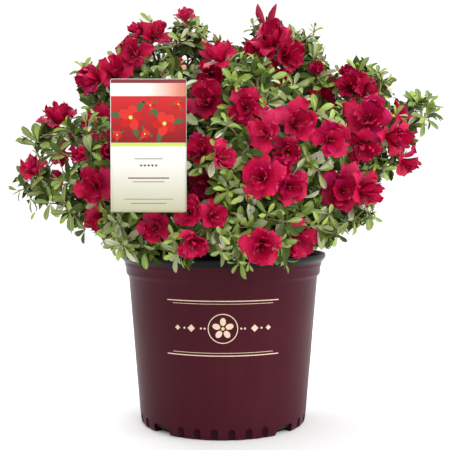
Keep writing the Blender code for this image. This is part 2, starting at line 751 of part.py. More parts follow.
pot = turned("pot", pot_inside() + pot_outside(), "pot", POT_STEPS)
still = [pot, make_potting_mix(), make_trunk(), make_tag()]

rooms = {}
stems = {}
for bough, (tier, carried) in BOUGHS.items():
    route = bough_route(tier, carried)
    steps = len(route) - 1
    radii = [BOUGH_BASE_RADIUS + (BOUGH_TIP_RADIUS - BOUGH_BASE_RADIUS) * i / steps for i in range(steps + 1)]
    add_object(bough, limb_mesh(bough, route, radii, 6), ["bark"])
    rooms[bough] = limb_room(bough, route, radii, 6)
    for name, stem in stem_routes(route, carried).items():
        thickness = [STEM_RADIUS] * len(stem)
        stems[name] = stem
        rooms[name] = limb_room(name, stem, thickness, 4)

still_rooms = [evaluated_mesh(obj) for obj in still]
for number, name in enumerate(MASSES):
    stem = stems[name]
    others = joined_tree([room for key, room in rooms.items() if key != name] + still_rooms)
    make_mass(number, name, stem, others)

cut_foot(pot)
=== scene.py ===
import math
import random

import bpy
import numpy as np
from mathutils import Matrix, Vector, noise
from mathutils.bvhtree import BVHTree


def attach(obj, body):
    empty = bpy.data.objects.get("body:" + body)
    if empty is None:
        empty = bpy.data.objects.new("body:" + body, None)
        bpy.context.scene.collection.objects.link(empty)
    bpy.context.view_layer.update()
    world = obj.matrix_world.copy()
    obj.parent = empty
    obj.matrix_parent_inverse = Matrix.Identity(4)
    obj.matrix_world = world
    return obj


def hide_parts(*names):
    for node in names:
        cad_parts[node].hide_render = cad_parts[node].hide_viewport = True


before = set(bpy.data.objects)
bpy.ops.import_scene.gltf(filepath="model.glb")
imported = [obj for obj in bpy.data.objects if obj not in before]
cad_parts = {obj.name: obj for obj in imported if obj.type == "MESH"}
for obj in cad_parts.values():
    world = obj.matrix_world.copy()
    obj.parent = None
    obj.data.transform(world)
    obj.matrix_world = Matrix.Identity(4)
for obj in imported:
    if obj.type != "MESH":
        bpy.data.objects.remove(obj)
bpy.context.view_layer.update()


# ---------------------------------------------------------------- floor, light and camera
# The plant stands on a pale seamless floor, under a pale sky that keeps the shadows soft. Soft
# boxes in front and on the right shape it, and one behind it, on the left, lights its edges.

FLOOR_SIDE = 14.0
FLOOR_COLOUR = (0.905, 0.905, 0.905, 1.0)
FLOOR_ROUGH = 0.9
SKY_COLOUR = (1.0, 1.0, 1.0, 1.0)
SKY_STRENGTH = 1.10
CAMERA_PLACE = (0.0025, -1.185, 0.306)
CAMERA_PITCH = math.radians(2.0)  # looking down
CAMERA_LENS = 69.92
CAMERA_SENSOR = 36.0
CAMERA_NEAR = 0.05
SOFT_BOXES = [
    # name, place, side, watts
    ("front_box", (0.55, -1.85, 1.50), 1.0, 17.5),
    ("right_box", (1.60, -0.70, 0.80), 1.1, 15.0),
    ("back_box", (-0.60, 1.00, 1.90), 1.0, 32.0),
]
AIM = Vector((0.0, 0.0, 0.30))


def pick(*chosen):
    """Selects these pieces and nothing else. The first is the active one."""
    bpy.ops.object.select_all(action="DESELECT")
    for piece in chosen:
        piece.select_set(True)
    if chosen:
        bpy.context.view_layer.objects.active = chosen[0]


pick()
bpy.ops.mesh.primitive_plane_add(size=FLOOR_SIDE, location=(0.0, 0.0, 0.0))
floor = bpy.context.object
floor.name = "studio_floor"
floor_paint = bpy.data.materials.new("studio_floor_paint")
floor_paint.use_nodes = True
paint_sockets = floor_paint.node_tree.nodes["Principled BSDF"].inputs
paint_sockets["Base Color"].default_value = FLOOR_COLOUR
paint_sockets["Roughness"].default_value = FLOOR_ROUGH
floor.data.materials.append(floor_paint)

sky = bpy.data.worlds.new("studio_sky")
sky.use_nodes = True
sky.node_tree.nodes["Background"].inputs["Color"].default_value = SKY_COLOUR
sky.node_tree.nodes["Background"].inputs["Strength"].default_value = SKY_STRENGTH
bpy.context.scene.world = sky

for name, place, side, watts in SOFT_BOXES:
    bpy.ops.object.light_add(type="AREA", location=place)
    box = bpy.context.object
    box.name = name
    box.data.energy = watts
    box.data.size = side
    box.rotation_euler = (AIM - Vector(place)).to_track_quat("-Z", "Y").to_euler()

bpy.ops.object.camera_add(location=CAMERA_PLACE, rotation=(math.pi / 2 - CAMERA_PITCH, 0.0, 0.0))
camera = bpy.context.object
camera.data.lens = CAMERA_LENS
camera.data.sensor_width = CAMERA_SENSOR
camera.data.clip_start = CAMERA_NEAR
bpy.context.scene.camera = camera
bpy.context.scene.view_settings.view_transform = "Standard"


# ---------------------------------------------------------------- the pot
# An eleven inch nursery container, moulded in two layers of plastic at once: satin maroon
# outside, black inside and on the rolled lip. Its foot has four drain notches, and shallow
# arched flutes between them. Potting mix, stem and shrub stand in it.

POT_SIDES = 192
POT_PROFILE = [
    # radius, height: from the underside up the outside, over the lip and down to the floor
    (0.1040, 0.0000), (0.1072, 0.0000), (0.1094, 0.0008), (0.1110, 0.0030), (0.1118, 0.0070),
    (0.1138, 0.0300), (0.1163, 0.0600), (0.1188, 0.0900), (0.1213, 0.1225), (0.1243, 0.1600),
    (0.1271, 0.1955), (0.1276, 0.1972), (0.1296, 0.1996), (0.1305, 0.2012), (0.1308, 0.2030),
    (0.1313, 0.2106), (0.1321, 0.2118), (0.1325, 0.2130), (0.1323, 0.2142), (0.1334, 0.2170),
    (0.1362, 0.2203), (0.1376, 0.2222), (0.1380, 0.2240), (0.1380, 0.2262), (0.1375, 0.2275),
    (0.1363, 0.2280), (0.1346, 0.2279), (0.1336, 0.2270), (0.1329, 0.2240), (0.1306, 0.2170),
    (0.1291, 0.2140), (0.1284, 0.2020), (0.1249, 0.1970), (0.1160, 0.0980), (0.1070, 0.0062),
    (0.1050, 0.0036),
]
DRAIN_NOTCHES = 4
NOTCH = (0.0295, 0.0300, 0.0120)  # along the wall, through it, height
NOTCH_CORNER = 0.0030
NOTCH_STEPS = 4
FLUTES_A_SIDE = 6
FLUTE_STEP = math.radians(11.25)
FLUTE_RADIUS = 0.0048
FLUTE_TOP = 0.0150
FLUTE_AXIS = 0.1122
FLUTE_LEAN = math.radians(5.0)
BELOW = 0.0040
POT_SMOOTH = math.radians(34.0)
MAROON = (0.047, 0.0050, 0.0110, 1.0)
MAROON_DUSTY = (0.062, 0.0120, 0.0185, 1.0)
MAROON_FLUTE_SHADE = (0.016, 0.0026, 0.0050, 1.0)
FOOT_RADIUS, FOOT_SLOPE = 0.1112, 0.087  # the wall's outside just above the floor
FLUTE_SHADE_DEPTHS = (0.0006, 0.0024)  # the flutes are painted darker below this depth, a painted shade
INNER_BLACK = (0.0050, 0.0050, 0.0062, 1.0)
LIP_BLACK_FROM = 0.2185  # the black layer shows above this height, and on what faces inwards
LINING_WITHIN = 0.1060  # and on the floor, out to this radius
INWARDS = -0.2  # a face that looks this far towards the pot's axis shows the lining


class Finish:
    """A material on its Principled shader. Its nodes are added by node(), and sums on what
    node() gives add their own Math nodes."""

    def __init__(self, name, **constants):
        self.material = bpy.data.materials.new(name)
        self.material.use_nodes = True
        self.tree = self.material.node_tree
        self.shader = self.tree.nodes["Principled BSDF"]
        for socket, value in constants.items():
            self.feed(self.shader.inputs[socket.replace("_", " ")], value)

    def feed(self, socket, value):
        if isinstance(value, Wire):
            self.tree.links.new(value.socket, socket)
        else:
            socket.default_value = value

    def node(self, kind, settings=None, output=0, **values):
        made = self.tree.nodes.new(kind)
        for key, value in (settings or {}).items():
            setattr(made, key, value)
        for key, value in values.items():
            key = int(key[1:]) if key[1:].isdigit() else key.replace("_", " ")
            self.feed(made.inputs[key], value)
        return Wire(self, made.outputs[output])

    def place(self):
        return self.node("ShaderNodeTexCoord", output="Object")

    def parts(self, vector):
        """The X, Y and Z of a vector."""
        split = self.node("ShaderNodeSeparateXYZ", i0=vector).socket.node
        return [Wire(self, out) for out in split.outputs]

    def speckle(self, scale, detail=3.0, rough=0.55, vector=None):
        """Noise from 0 to 1, of so many grains a metre."""
        vector = vector or self.place()
        return self.node(
            "ShaderNodeTexNoise", Vector=vector, Scale=scale, Detail=detail, Roughness=rough
        )

    def stretched(self, x, y, z):
        """Object coordinates stretched along their axes, for grain that runs one way."""
        return self.node("ShaderNodeMapping", Vector=self.place(), Scale=(x, y, z))

    def blend(self, factor, first, second):
        """A colour between two others."""
        mixed = self.node("ShaderNodeMix", {"data_type": "RGBA"}, output=2, i0=factor, i6=first)
        self.feed(mixed.socket.node.inputs[7], second)
        return mixed

    def step(self, value, low, high):
        """0 below low and 1 above high, with a straight ramp between them."""
        return self.node(
            "ShaderNodeMapRange", {"clamp": True},
            Value=value, From_Min=low, From_Max=high, To_Min=0.0, To_Max=1.0,
        )

    def bump(self, height, distance, strength=1.0):
        relief = self.node("ShaderNodeBump", Height=height, Distance=distance, Strength=strength)
        self.feed(self.shader.inputs["Normal"], relief)

    def colour(self, value):
        self.feed(self.shader.inputs["Base Color"], value)

    def rough(self, value):
        self.feed(self.shader.inputs["Roughness"], value)


class Wire:
    """What a node gives. Python's operators on it add the Math nodes that they stand for."""

    def __init__(self, finish, socket):
        self.finish = finish
        self.socket = socket

    def sum(self, operation, first, second=0.0):
        return self.finish.node("ShaderNodeMath", {"operation": operation}, i0=first, i1=second)

    def __add__(self, other):
        return self.sum("ADD", self, other)

    __radd__ = __add__

    def __sub__(self, other):
        return self.sum("SUBTRACT", self, other)

    def __rsub__(self, other):
        return self.sum("SUBTRACT", other, self)

    def __mul__(self, other):
        return self.sum("MULTIPLY", self, other)

    __rmul__ = __mul__

    def __pow__(self, other):
        return self.sum("POWER", self, other)


def start_piece(name):
    """Names the primitive just added, and leaves it alone in edit mode with all of it selected."""
    made = bpy.context.object
    made.name = name
    bpy.ops.object.mode_set(mode="EDIT")
    bpy.ops.mesh.select_all(action="SELECT")
    return made


def end_piece():
    """Leaves edit mode, with the piece's faces outwards and its place in its mesh."""
    bpy.ops.mesh.select_all(action="SELECT")
    bpy.ops.mesh.normals_make_consistent(inside=False)
    bpy.ops.object.mode_set(mode="OBJECT")
    bpy.ops.object.transform_apply(location=True, rotation=True, scale=True)


def extrude_rings(profile):
    """Draws the selected round face on through each (radius, height), scaling it about Z."""
    for (radius, height), (wide, high) in zip(profile, profile[1:]):
        bpy.ops.mesh.extrude_region_move(TRANSFORM_OT_translate={"value": (0.0, 0.0, high - height)})
        share = wide / radius
        bpy.ops.transform.resize(value=(share, share, 1.0), center_override=(0.0, 0.0, high))


def select_where(elements, wanted):
    """Selects just the wanted edges or faces of the piece in edit mode. Elements gives them."""
    bpy.ops.mesh.select_all(action="DESELECT")
    bpy.ops.object.mode_set(mode="OBJECT")
    for element in elements():
        element.select = wanted(element)
    bpy.ops.object.mode_set(mode="EDIT")


def round_corners(made, least, offset, segments, above=-1.0):
    """Bevels the edges of a block that run along Y for at least this length, above a height."""
    def runs_through(edge):
        ends = [made.data.vertices[i].co for i in edge.vertices]
        return abs(ends[0].y - ends[1].y) > least and min(ends[0].z, ends[1].z) > above
    select_where(lambda: made.data.edges, runs_through)
    bpy.ops.mesh.bevel(offset=offset, segments=segments)


def joined(chosen, name):
    """Joins pieces into the first of them."""
    pick(*chosen)
    bpy.ops.object.join()
    chosen[0].name = name
    return chosen[0]


def apply_modifiers(made):
    """Applies a piece's modifiers in order, with nothing else selected."""
    pick(made)
    for modifier in list(made.modifiers):
        bpy.ops.object.modifier_apply(modifier=modifier.name)


def settle(made):
    """Puts a piece's place into its mesh, so that its object sits at the origin, and rides it."""
    pick(made)
    bpy.ops.object.transform_apply(location=True, rotation=True, scale=True)
    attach(made, "root")


def round_start(name, sides, radius, place, turned=(0.0, 0.0, 0.0)):
    """Starts a piece from a flat round face."""
    pick()
    bpy.ops.mesh.primitive_circle_add(
        vertices=sides, radius=radius, fill_type="NGON", location=place, rotation=turned
    )
    return start_piece(name)


pot = round_start("nursery_pot", POT_SIDES, POT_PROFILE[0][0], (0.0, 0.0, POT_PROFILE[0][1]))
extrude_rings(POT_PROFILE)
end_piece()

cutters = []
for notch in range(DRAIN_NOTCHES):
    turn = 2 * math.pi * (notch + 0.5) / DRAIN_NOTCHES
    place = (FLUTE_AXIS * math.sin(turn), -FLUTE_AXIS * math.cos(turn), NOTCH[2] / 2 - BELOW / 2)
    pick()
    bpy.ops.mesh.primitive_cube_add(size=1.0, location=place, rotation=(0.0, 0.0, turn))
    bpy.context.object.scale = (NOTCH[0], NOTCH[1], NOTCH[2] + BELOW)
    bpy.ops.object.transform_apply(location=False, rotation=False, scale=True)
    block = start_piece(f"notch_cutter_{notch}")
    round_corners(block, NOTCH[1] / 2, NOTCH_CORNER, NOTCH_STEPS, above=0.0)
    end_piece()
    cutters.append(block)
    for flute in range(FLUTES_A_SIDE):
        turn = 2 * math.pi * notch / DRAIN_NOTCHES + (flute - (FLUTES_A_SIDE - 1) / 2) * FLUTE_STEP
        spring = (0.0, 0.0, FLUTE_TOP - FLUTE_RADIUS)  # where the arch's round top springs from
        pick()
        bpy.ops.mesh.primitive_uv_sphere_add(
            segments=20, ring_count=10, radius=FLUTE_RADIUS, location=spring
        )
        arch = start_piece(f"flute_cutter_{notch}_{flute}")
        bpy.ops.mesh.bisect(plane_co=spring, plane_no=(0.0, 0.0, 1.0), clear_inner=True, use_fill=True)
        select_where(lambda: arch.data.polygons, lambda face: len(face.vertices) > 6)
        bpy.ops.mesh.extrude_region_move(
            TRANSFORM_OT_translate={"value": (0.0, 0.0, FLUTE_RADIUS - FLUTE_TOP - BELOW)}
        )
        end_piece()
        arch.data.transform(
            Matrix.Rotation(turn, 4, "Z")
            @ Matrix.Translation((0.0, -FLUTE_AXIS, 0.0))
            @ Matrix.Rotation(FLUTE_LEAN, 4, "X")
        )
        cutters.append(arch)

cutter = joined(cutters, "cutter")
carve = pot.modifiers.new("notches_and_flutes", "BOOLEAN")
carve.operation = "DIFFERENCE"
carve.object = cutter
carve.solver = "EXACT"
apply_modifiers(pot)
bpy.data.objects.remove(cutter)
bpy.ops.object.shade_smooth_by_angle(angle=POT_SMOOTH)

pot_plastic = Finish("pot_plastic", Specular_IOR_Level=0.07)
cloudy = pot_plastic.speckle(9.0, detail=4.0)
streaks = pot_plastic.speckle(1.0, detail=5.0, vector=pot_plastic.stretched(60.0, 60.0, 6.0))
grit = pot_plastic.speckle(900.0, detail=2.0)
dust = pot_plastic.step(cloudy * 0.6 + streaks * 0.4, 0.42, 0.68)
x, y, z = pot_plastic.parts(pot_plastic.place())
# Painted shade: the flutes and the rounded bottom edge of the foot are painted a darker maroon, for the
# shade in these hollows.
hollow = FOOT_RADIUS + FOOT_SLOPE * z - (x * x + y * y) ** 0.5
flute_shade = pot_plastic.step(hollow, *FLUTE_SHADE_DEPTHS) * pot_plastic.step(FLUTE_TOP + 0.0020 - z, 0.0, 0.0020)
clean = pot_plastic.blend(dust * 0.45, MAROON, MAROON_DUSTY)
pot_plastic.colour(pot_plastic.blend(flute_shade * 0.75, clean, MAROON_FLUTE_SHADE))
pot_plastic.rough(0.34 + dust * 0.12 + grit * 0.05)
pot_plastic.bump(grit * 0.5 + streaks * 0.5, 0.00025, 0.35)
pot_lining = Finish("pot_lining", Base_Color=INNER_BLACK, Specular_IOR_Level=0.11)
grit = pot_lining.speckle(900.0, detail=2.0)
pot_lining.rough(0.30 + grit * 0.10)
pot_lining.bump(grit, 0.0002, 0.35)
for finish in (pot_plastic, pot_lining):
    pot.data.materials.append(finish.material)
for face in pot.data.polygons:
    out = Vector((face.center.x, face.center.y, 0.0))
    lines_floor = out.length < LINING_WITHIN and face.normal.z > 0.5
    looks_in = face.normal.dot(out.normalized()) < INWARDS
    face.material_index = int(face.center.z > LIP_BLACK_FROM or looks_in or lines_floor)
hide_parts("pot")
settle(pot)


# ---------------------------------------------------------------- the ornament on the pot
# A line ornament in cream ink, printed on the front of the wall: fine rules above and below, and
# a ring round a plain five-petalled blossom, with diamonds and dots on either side of it.

INK_LIFT = 0.00018
INK = (0.700, 0.520, 0.370, 1.0)
INK_WORN = (0.48, 0.33, 0.24, 1.0)
RULES = [
    # height, half width, thickness
    (0.1760, 0.0690, 0.0012), (0.1725, 0.0620, 0.0006),
    (0.1115, 0.0620, 0.0006), (0.1080, 0.0690, 0.0012),
]
BLOSSOM_HEIGHT = 0.1420
BLOSSOM_PETAL = (0.0072, 0.0098)
BLOSSOM_PETAL_OUT = 0.0085
BLOSSOM_HEART = 0.0021
DIAMONDS = [(-0.0560, 0.0046), (-0.0390, 0.0066), (0.0390, 0.0066), (0.0560, 0.0046)]
DOTS = [-0.0270, -0.0224, 0.0224, 0.0270, -0.0475, 0.0475]
DOT_RADIUS = 0.0013
RING_OUTSIDE, RING_LINE = 0.0186, 0.0011
ORNAMENT_FRONT = -0.160


def front_shape(name, wide, high, place, turn=0.0, sides=0, cells=(1, 1)):
    """Adds a flat shape that faces the front: an ellipse of so many sides, or else a grid."""
    pick()
    facing = {"location": place, "rotation": (math.pi / 2, turn, 0.0)}
    if sides:
        bpy.ops.mesh.primitive_circle_add(vertices=sides, radius=0.5, fill_type="TRIFAN", **facing)
    else:
        bpy.ops.mesh.primitive_grid_add(
            x_subdivisions=cells[0], y_subdivisions=cells[1], size=1.0, **facing
        )
    made = bpy.context.object
    made.name = name
    made.scale = (wide, high, 1.0)
    bpy.ops.object.transform_apply(location=True, rotation=True, scale=True)
    return made


printed = []
for count, (height, half, thick) in enumerate(RULES):
    place = (0.0, ORNAMENT_FRONT, height)
    printed.append(front_shape(f"rule_{count}", 2 * half, thick, place, cells=(48, 1)))
for count, (across, side) in enumerate(DIAMONDS):
    place = (across, ORNAMENT_FRONT, BLOSSOM_HEIGHT)
    printed.append(front_shape(f"diamond_{count}", side, side, place, math.pi / 4, cells=(4, 4)))
for count, across in enumerate(DOTS):
    place = (across, ORNAMENT_FRONT, BLOSSOM_HEIGHT)
    printed.append(front_shape(f"dot_{count}", 2 * DOT_RADIUS, 2 * DOT_RADIUS, place, sides=20))
for petal in range(5):
    turn = 2 * math.pi * petal / 5
    across, up = BLOSSOM_PETAL_OUT * math.sin(turn), BLOSSOM_PETAL_OUT * math.cos(turn)
    place = (across, ORNAMENT_FRONT, BLOSSOM_HEIGHT + up)
    printed.append(front_shape(f"petal_{petal}", *BLOSSOM_PETAL, place, turn, sides=28))
middle = (0.0, ORNAMENT_FRONT, BLOSSOM_HEIGHT)
printed.append(front_shape("blossom_heart", 2 * BLOSSOM_HEART, 2 * BLOSSOM_HEART, middle, sides=24))
ring = round_start("ring", 72, RING_OUTSIDE, middle, (math.pi / 2, 0.0, 0.0))
bpy.ops.mesh.inset(thickness=RING_LINE, depth=0.0)
bpy.ops.mesh.delete(type="FACE")
bpy.ops.object.mode_set(mode="OBJECT")
bpy.ops.object.transform_apply(location=True, rotation=True, scale=True)

ornament = joined(printed + [ring], "pot_ornament")
wrap = ornament.modifiers.new("onto_the_wall", "SHRINKWRAP")
wrap.target = pot
wrap.wrap_method = "PROJECT"
wrap.use_project_x = wrap.use_project_z = False
wrap.use_project_y = True
wrap.use_positive_direction = wrap.use_negative_direction = True
wrap.offset = INK_LIFT
apply_modifiers(ornament)
ink = Finish("cream_ink", Roughness=0.5)
worn = ink.step(ink.speckle(420.0, detail=4.0), 0.30, 0.75)
ink.colour(ink.blend(worn * 0.35, INK, INK_WORN))
ornament.data.materials.append(ink.material)
settle(ornament)


# ---------------------------------------------------------------- the potting mix
# Composted bark and peat, filled to just under the rim and settled a little at the wall.
# Loose chips of bark and a few white grains of perlite lie on it.

MIX_SIDES = 96
MIX_PROFILE = [(0.1040, 0.0045), (0.1070, 0.0100), (0.1238, 0.1970), (0.1270, 0.2030)]
MIX_TOP = 0.2085
MIX_TOP_FROM = 0.2035  # above this height the mix is lumpy
MIX_RINGS = 13
MIX_RING_STEP = 0.0092
MIX_RISES = {0: 0.45, 1: 0.55}  # the first rings' shares of the rise from the wall to the top
MIX_RELIEF = 0.0084
MIX_SMOOTH = math.radians(60.0)
MIX_CRUMBS = ((0.020, 0.013, 0.010, 1.0), (0.075, 0.045, 0.028, 1.0))
MIX_DAMP = (0.014, 0.010, 0.008, 1.0)
CHIPS = 820
CHIP_SIZES = ((0.0050, 0.0170), (0.0025, 0.0065), (0.0012, 0.0032))
GRAINS = 110
GRAIN_SIZES = ((0.0014, 0.0028), (0.0014, 0.0028), (0.0012, 0.0024))
CHIP_BROWNS = [(0.060, 0.036, 0.022), (0.105, 0.062, 0.036), (0.032, 0.020, 0.014)]
PERLITE = (0.62, 0.60, 0.56, 1.0)
STEM_CLEAR, CHIPS_OUT = 0.014, 0.1215  # chips lie between these radii
CHIP_TILT = 0.28
CHIP_SUNK = 0.25  # of its thickness


def roughen(made, name, above, grain, depth, relief, middle, direction="NORMAL"):
    """Moves a piece's skin above a height in and out by cloudy noise."""
    group = made.vertex_groups.new(name=name)
    group.add([v.index for v in made.data.vertices if v.co.z > above], 1.0, "REPLACE")
    clouds = bpy.data.textures.new(name, "CLOUDS")
    clouds.noise_scale = grain
    clouds.noise_depth = depth
    heave = made.modifiers.new(name, "DISPLACE")
    heave.texture = clouds
    heave.vertex_group = name
    heave.direction = direction
    heave.strength = relief
    heave.mid_level = middle
    apply_modifiers(made)
    made.vertex_groups.clear()


mix = round_start("potting_mix_bed", MIX_SIDES, MIX_PROFILE[0][0], (0.0, 0.0, MIX_PROFILE[0][1]))
extrude_rings(MIX_PROFILE)
for ring in range(MIX_RINGS):
    rise = (MIX_TOP - MIX_PROFILE[-1][1]) * MIX_RISES.get(ring, 0.0)
    bpy.ops.mesh.inset(thickness=MIX_RING_STEP)
    bpy.ops.transform.translate(value=(0.0, 0.0, rise))
bpy.ops.object.mode_set(mode="OBJECT")
roughen(mix, "mix_lumps", MIX_TOP_FROM, 0.011, 3, MIX_RELIEF, 0.62, "Z")
bpy.ops.object.mode_set(mode="EDIT")
end_piece()
bpy.ops.object.shade_smooth_by_angle(angle=MIX_SMOOTH)

mix_finish = Finish("composted_bark", Roughness=0.95, Specular_IOR_Level=0.2)
crumbs = mix_finish.speckle(330.0, detail=5.0, rough=0.7)
damp = mix_finish.speckle(38.0)
crumb_tone = mix_finish.blend(mix_finish.step(crumbs, 0.35, 0.65), *MIX_CRUMBS)
mix_finish.colour(mix_finish.blend(damp * 0.5, crumb_tone, MIX_DAMP))
mix_finish.bump(crumbs, 0.0022, 0.9)
mix.data.materials.append(mix_finish.material)
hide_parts("potting_mix")
settle(mix)


class Heap:
    """Many small meshes put together as one piece: their points, faces and finishes."""

    def __init__(self, name):
        self.name = name
        self.points = []
        self.faces = []
        self.tones = []
        self.count = 0

    def add(self, points, faces, tone):
        """Adds one small mesh. The tone is a finish's place in the piece's list, or one a face."""
        self.points.append(points)
        self.faces += [[self.count + i for i in face] for face in faces]
        self.tones += list(tone) if hasattr(tone, "__len__") else [tone] * len(faces)
        self.count += len(points)

    def build(self, finishes, smooth=True):
        mesh = bpy.data.meshes.new(self.name)
        mesh.from_pydata(np.concatenate(self.points).tolist(), [], self.faces)
        for finish in finishes:
            mesh.materials.append(finish.material)
        mesh.polygons.foreach_set("material_index", self.tones)
        mesh.polygons.foreach_set("use_smooth", [smooth] * len(self.faces))
        mesh.update()
        made = bpy.data.objects.new(self.name, mesh)
        bpy.context.scene.collection.objects.link(made)
        return made


def mottled(name, dark, pale, grain, detail=3.0, edges=None, relief=None, **constants):
    """A finish mottled between two tones, of so many grains a metre. Its relief is the grain of
    its bumps, their height and their strength."""
    finish = Finish(name, **constants)
    spots = finish.speckle(grain, detail=detail)
    finish.colour(finish.blend(finish.step(spots, *edges) if edges else spots, dark, pale))
    if relief:
        finish.bump(finish.speckle(relief[0], detail=detail), *relief[1:])
    return finish


BLOCK_CORNERS = np.array([
    (-1, -1, -1), (1, -1, -1), (1, 1, -1), (-1, 1, -1),
    (-1, -1, 1), (1, -1, 1), (1, 1, 1), (-1, 1, 1),
]) * 0.5
BLOCK_FACES = [(3, 2, 1, 0), (4, 5, 6, 7), (0, 1, 5, 4), (1, 2, 6, 5), (2, 3, 7, 6), (3, 0, 4, 7)]

rng = random.Random(11)
chips = Heap("bark_chips")
mix_surface = BVHTree.FromPolygons(
    [v.co for v in mix.data.vertices], [list(p.vertices) for p in mix.data.polygons]
)
for count in range(CHIPS + GRAINS):
    sizes, perlite = (CHIP_SIZES, False) if count < CHIPS else (GRAIN_SIZES, True)
    out = STEM_CLEAR + (CHIPS_OUT - STEM_CLEAR) * math.sqrt(rng.random())
    turn = rng.uniform(0.0, 2 * math.pi)
    over = Vector((out * math.cos(turn), out * math.sin(turn), 0.25))
    lies_at = mix_surface.ray_cast(over, Vector((0.0, 0.0, -1.0)))[0]
    size = [rng.uniform(*span) for span in sizes]
    corners = BLOCK_CORNERS * size
    corners = corners * np.array([[rng.uniform(0.62, 1.15) for _ in range(3)] for _ in range(8)])
    tilt = Matrix.Rotation(rng.uniform(0.0, 2 * math.pi), 3, "Z")
    tilt = tilt @ Matrix.Rotation(rng.gauss(0.0, CHIP_TILT), 3, "X")
    tilt = tilt @ Matrix.Rotation(rng.gauss(0.0, CHIP_TILT), 3, "Y")
    place = np.array(lies_at) + (0.0, 0.0, size[2] * CHIP_SUNK)
    tone = len(CHIP_BROWNS) if perlite else rng.randrange(len(CHIP_BROWNS))
    chips.add(corners @ np.array(tilt).T + place, BLOCK_FACES, tone)
chip_finishes = []
for count, brown in enumerate(CHIP_BROWNS):
    light = [part * 1.8 for part in brown]
    chip_finishes.append(mottled(
        f"bark_chip_{count}", (*brown, 1.0), (*light, 1.0), 600.0, relief=(600.0, 0.0005, 0.8),
        Roughness=0.9, Specular_IOR_Level=0.25,
    ))
chip_finishes.append(Finish("perlite", Base_Color=PERLITE, Roughness=0.95))
chip_piece = chips.build(chip_finishes, smooth=False)
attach(chip_piece, "root")


# ---------------------------------------------------------------- the stem
# One short woody trunk with a flared root collar stands in the middle of the mix. Its bark is
# grey brown, in shallow plates and cracks that run up the stem.

TRUNK_FOOT = Vector((0.0, 0.0, MIX_TOP + 0.0003))
TRUNK_HEIGHT = 0.050
TRUNK_LEAN = 0.0030
TRUNK_PROFILE = [
    # share of the height, radius
    (0.00, 0.0175), (0.03, 0.0163), (0.10, 0.0138), (0.20, 0.0126), (0.30, 0.0120),
    (0.45, 0.0116), (0.60, 0.0111), (0.75, 0.0105), (0.88, 0.0100), (0.96, 0.0085), (1.00, 0.0060),
]
TRUNK_SIDES = 48
TRUNK_STEP = 0.0028
TRUNK_SMOOTH = math.radians(70.0)
BARK_RELIEF = 0.0014
BARK_DARK = (0.055, 0.036, 0.024, 1.0)
BARK_PALE = (0.190, 0.135, 0.092, 1.0)
BARK_GREEN = (0.085, 0.085, 0.045, 1.0)


def trunk_axis(share):
    """The trunk's middle at a share of its height: it leans towards +X as it rises."""
    return TRUNK_FOOT + Vector((TRUNK_LEAN * share * share, 0.0, TRUNK_HEIGHT * share))


trunk = round_start("woody_trunk", TRUNK_SIDES, TRUNK_PROFILE[0][1], trunk_axis(0.0))
for (low, wide), (high, narrow) in zip(TRUNK_PROFILE, TRUNK_PROFILE[1:]):
    steps = max(1, round((high - low) * TRUNK_HEIGHT / TRUNK_STEP))
    for step in range(steps):
        here = trunk_axis(low + (high - low) * step / steps)
        there = trunk_axis(low + (high - low) * (step + 1) / steps)
        share = (wide + (narrow - wide) * (step + 1) / steps) / (wide + (narrow - wide) * step / steps)
        bpy.ops.mesh.extrude_region_move(TRANSFORM_OT_translate={"value": tuple(there - here)})
        bpy.ops.transform.resize(value=(share, share, 1.0), center_override=tuple(there))
end_piece()
roughen(trunk, "bark_plates", TRUNK_FOOT.z + 0.001, 0.0042, 2, BARK_RELIEF, 0.65)
bpy.ops.object.shade_smooth_by_angle(angle=TRUNK_SMOOTH)

bark = Finish("shrub_bark", Roughness=0.85, Specular_IOR_Level=0.25)
ridges = bark.speckle(1.0, detail=6.0, rough=0.65, vector=bark.stretched(420.0, 420.0, 110.0))
patches = bark.speckle(60.0)
bark_tone = bark.blend(bark.step(ridges, 0.36, 0.64), BARK_DARK, BARK_PALE)
bark.colour(bark.blend(bark.step(patches, 0.55, 0.75) * 0.4, bark_tone, BARK_GREEN))
bark.bump(ridges, 0.0010, 0.9)
trunk.data.materials.append(bark.material)
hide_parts("trunk")
settle(trunk)


# ---------------------------------------------------------------- the boughs and stems
# Fourteen boughs leave the trunk in four tiers and rise outwards, each swelling at its
# collar and thinning to its tip, where it parts into one stem for each mass of foliage.

# Each mass of foliage: its middle and its reach, in millimetres.
MASSES = {
    "crest": (64, -35, 503, 64), "peak_left": (-47, -15, 500, 62), "shoulder_left": (-116, 0, 486, 62),
    "left_upper": (-170, -35, 437, 62), "left_mid": (-226, 0, 385, 62), "left_tip": (-238, -25, 318, 60),
    "left_low": (-176, -65, 283, 60), "left_front": (-165, -110, 345, 64),
    "low_front_left": (-95, -160, 258, 57), "front_left": (-25, -190, 265, 58),
    "front_right": (50, -185, 258, 58), "low_front_right": (110, -130, 258, 55),
    "right_low": (165, -90, 295, 61), "right_front": (180, -60, 376, 64), "right_tip": (249, 5, 400, 62),
    "right_upper": (182, 0, 437, 62), "upper_right": (117, 0, 487, 62),
    "centre_upper": (25, -140, 415, 64), "centre_upper_left": (-60, -120, 410, 64),
    "centre_right": (90, -150, 365, 64), "centre": (20, -200, 345, 62),
    "centre_left": (-70, -178, 335, 64), "right_side": (200, 10, 325, 55),
    "back_left": (-185, 90, 380, 64), "back_left_low": (-150, 125, 285, 60),
    "back_left_high": (-105, 95, 455, 62), "back_mid": (-15, 180, 375, 66),
    "back_low": (-55, 180, 275, 60), "back_right_low": (65, 170, 270, 60),
    "back_right": (125, 140, 365, 66), "back_side_low": (160, 85, 285, 58), "back_top": (15, 85, 475, 66),
    "back_right_high": (120, 98, 445, 60), "heart_upper": (60, -55, 410, 58),
    "heart_low": (25, -85, 305, 56),
}
MASSES = {name: (np.array(row[:3]) / 1000.0, row[3] / 1000.0) for name, row in MASSES.items()}

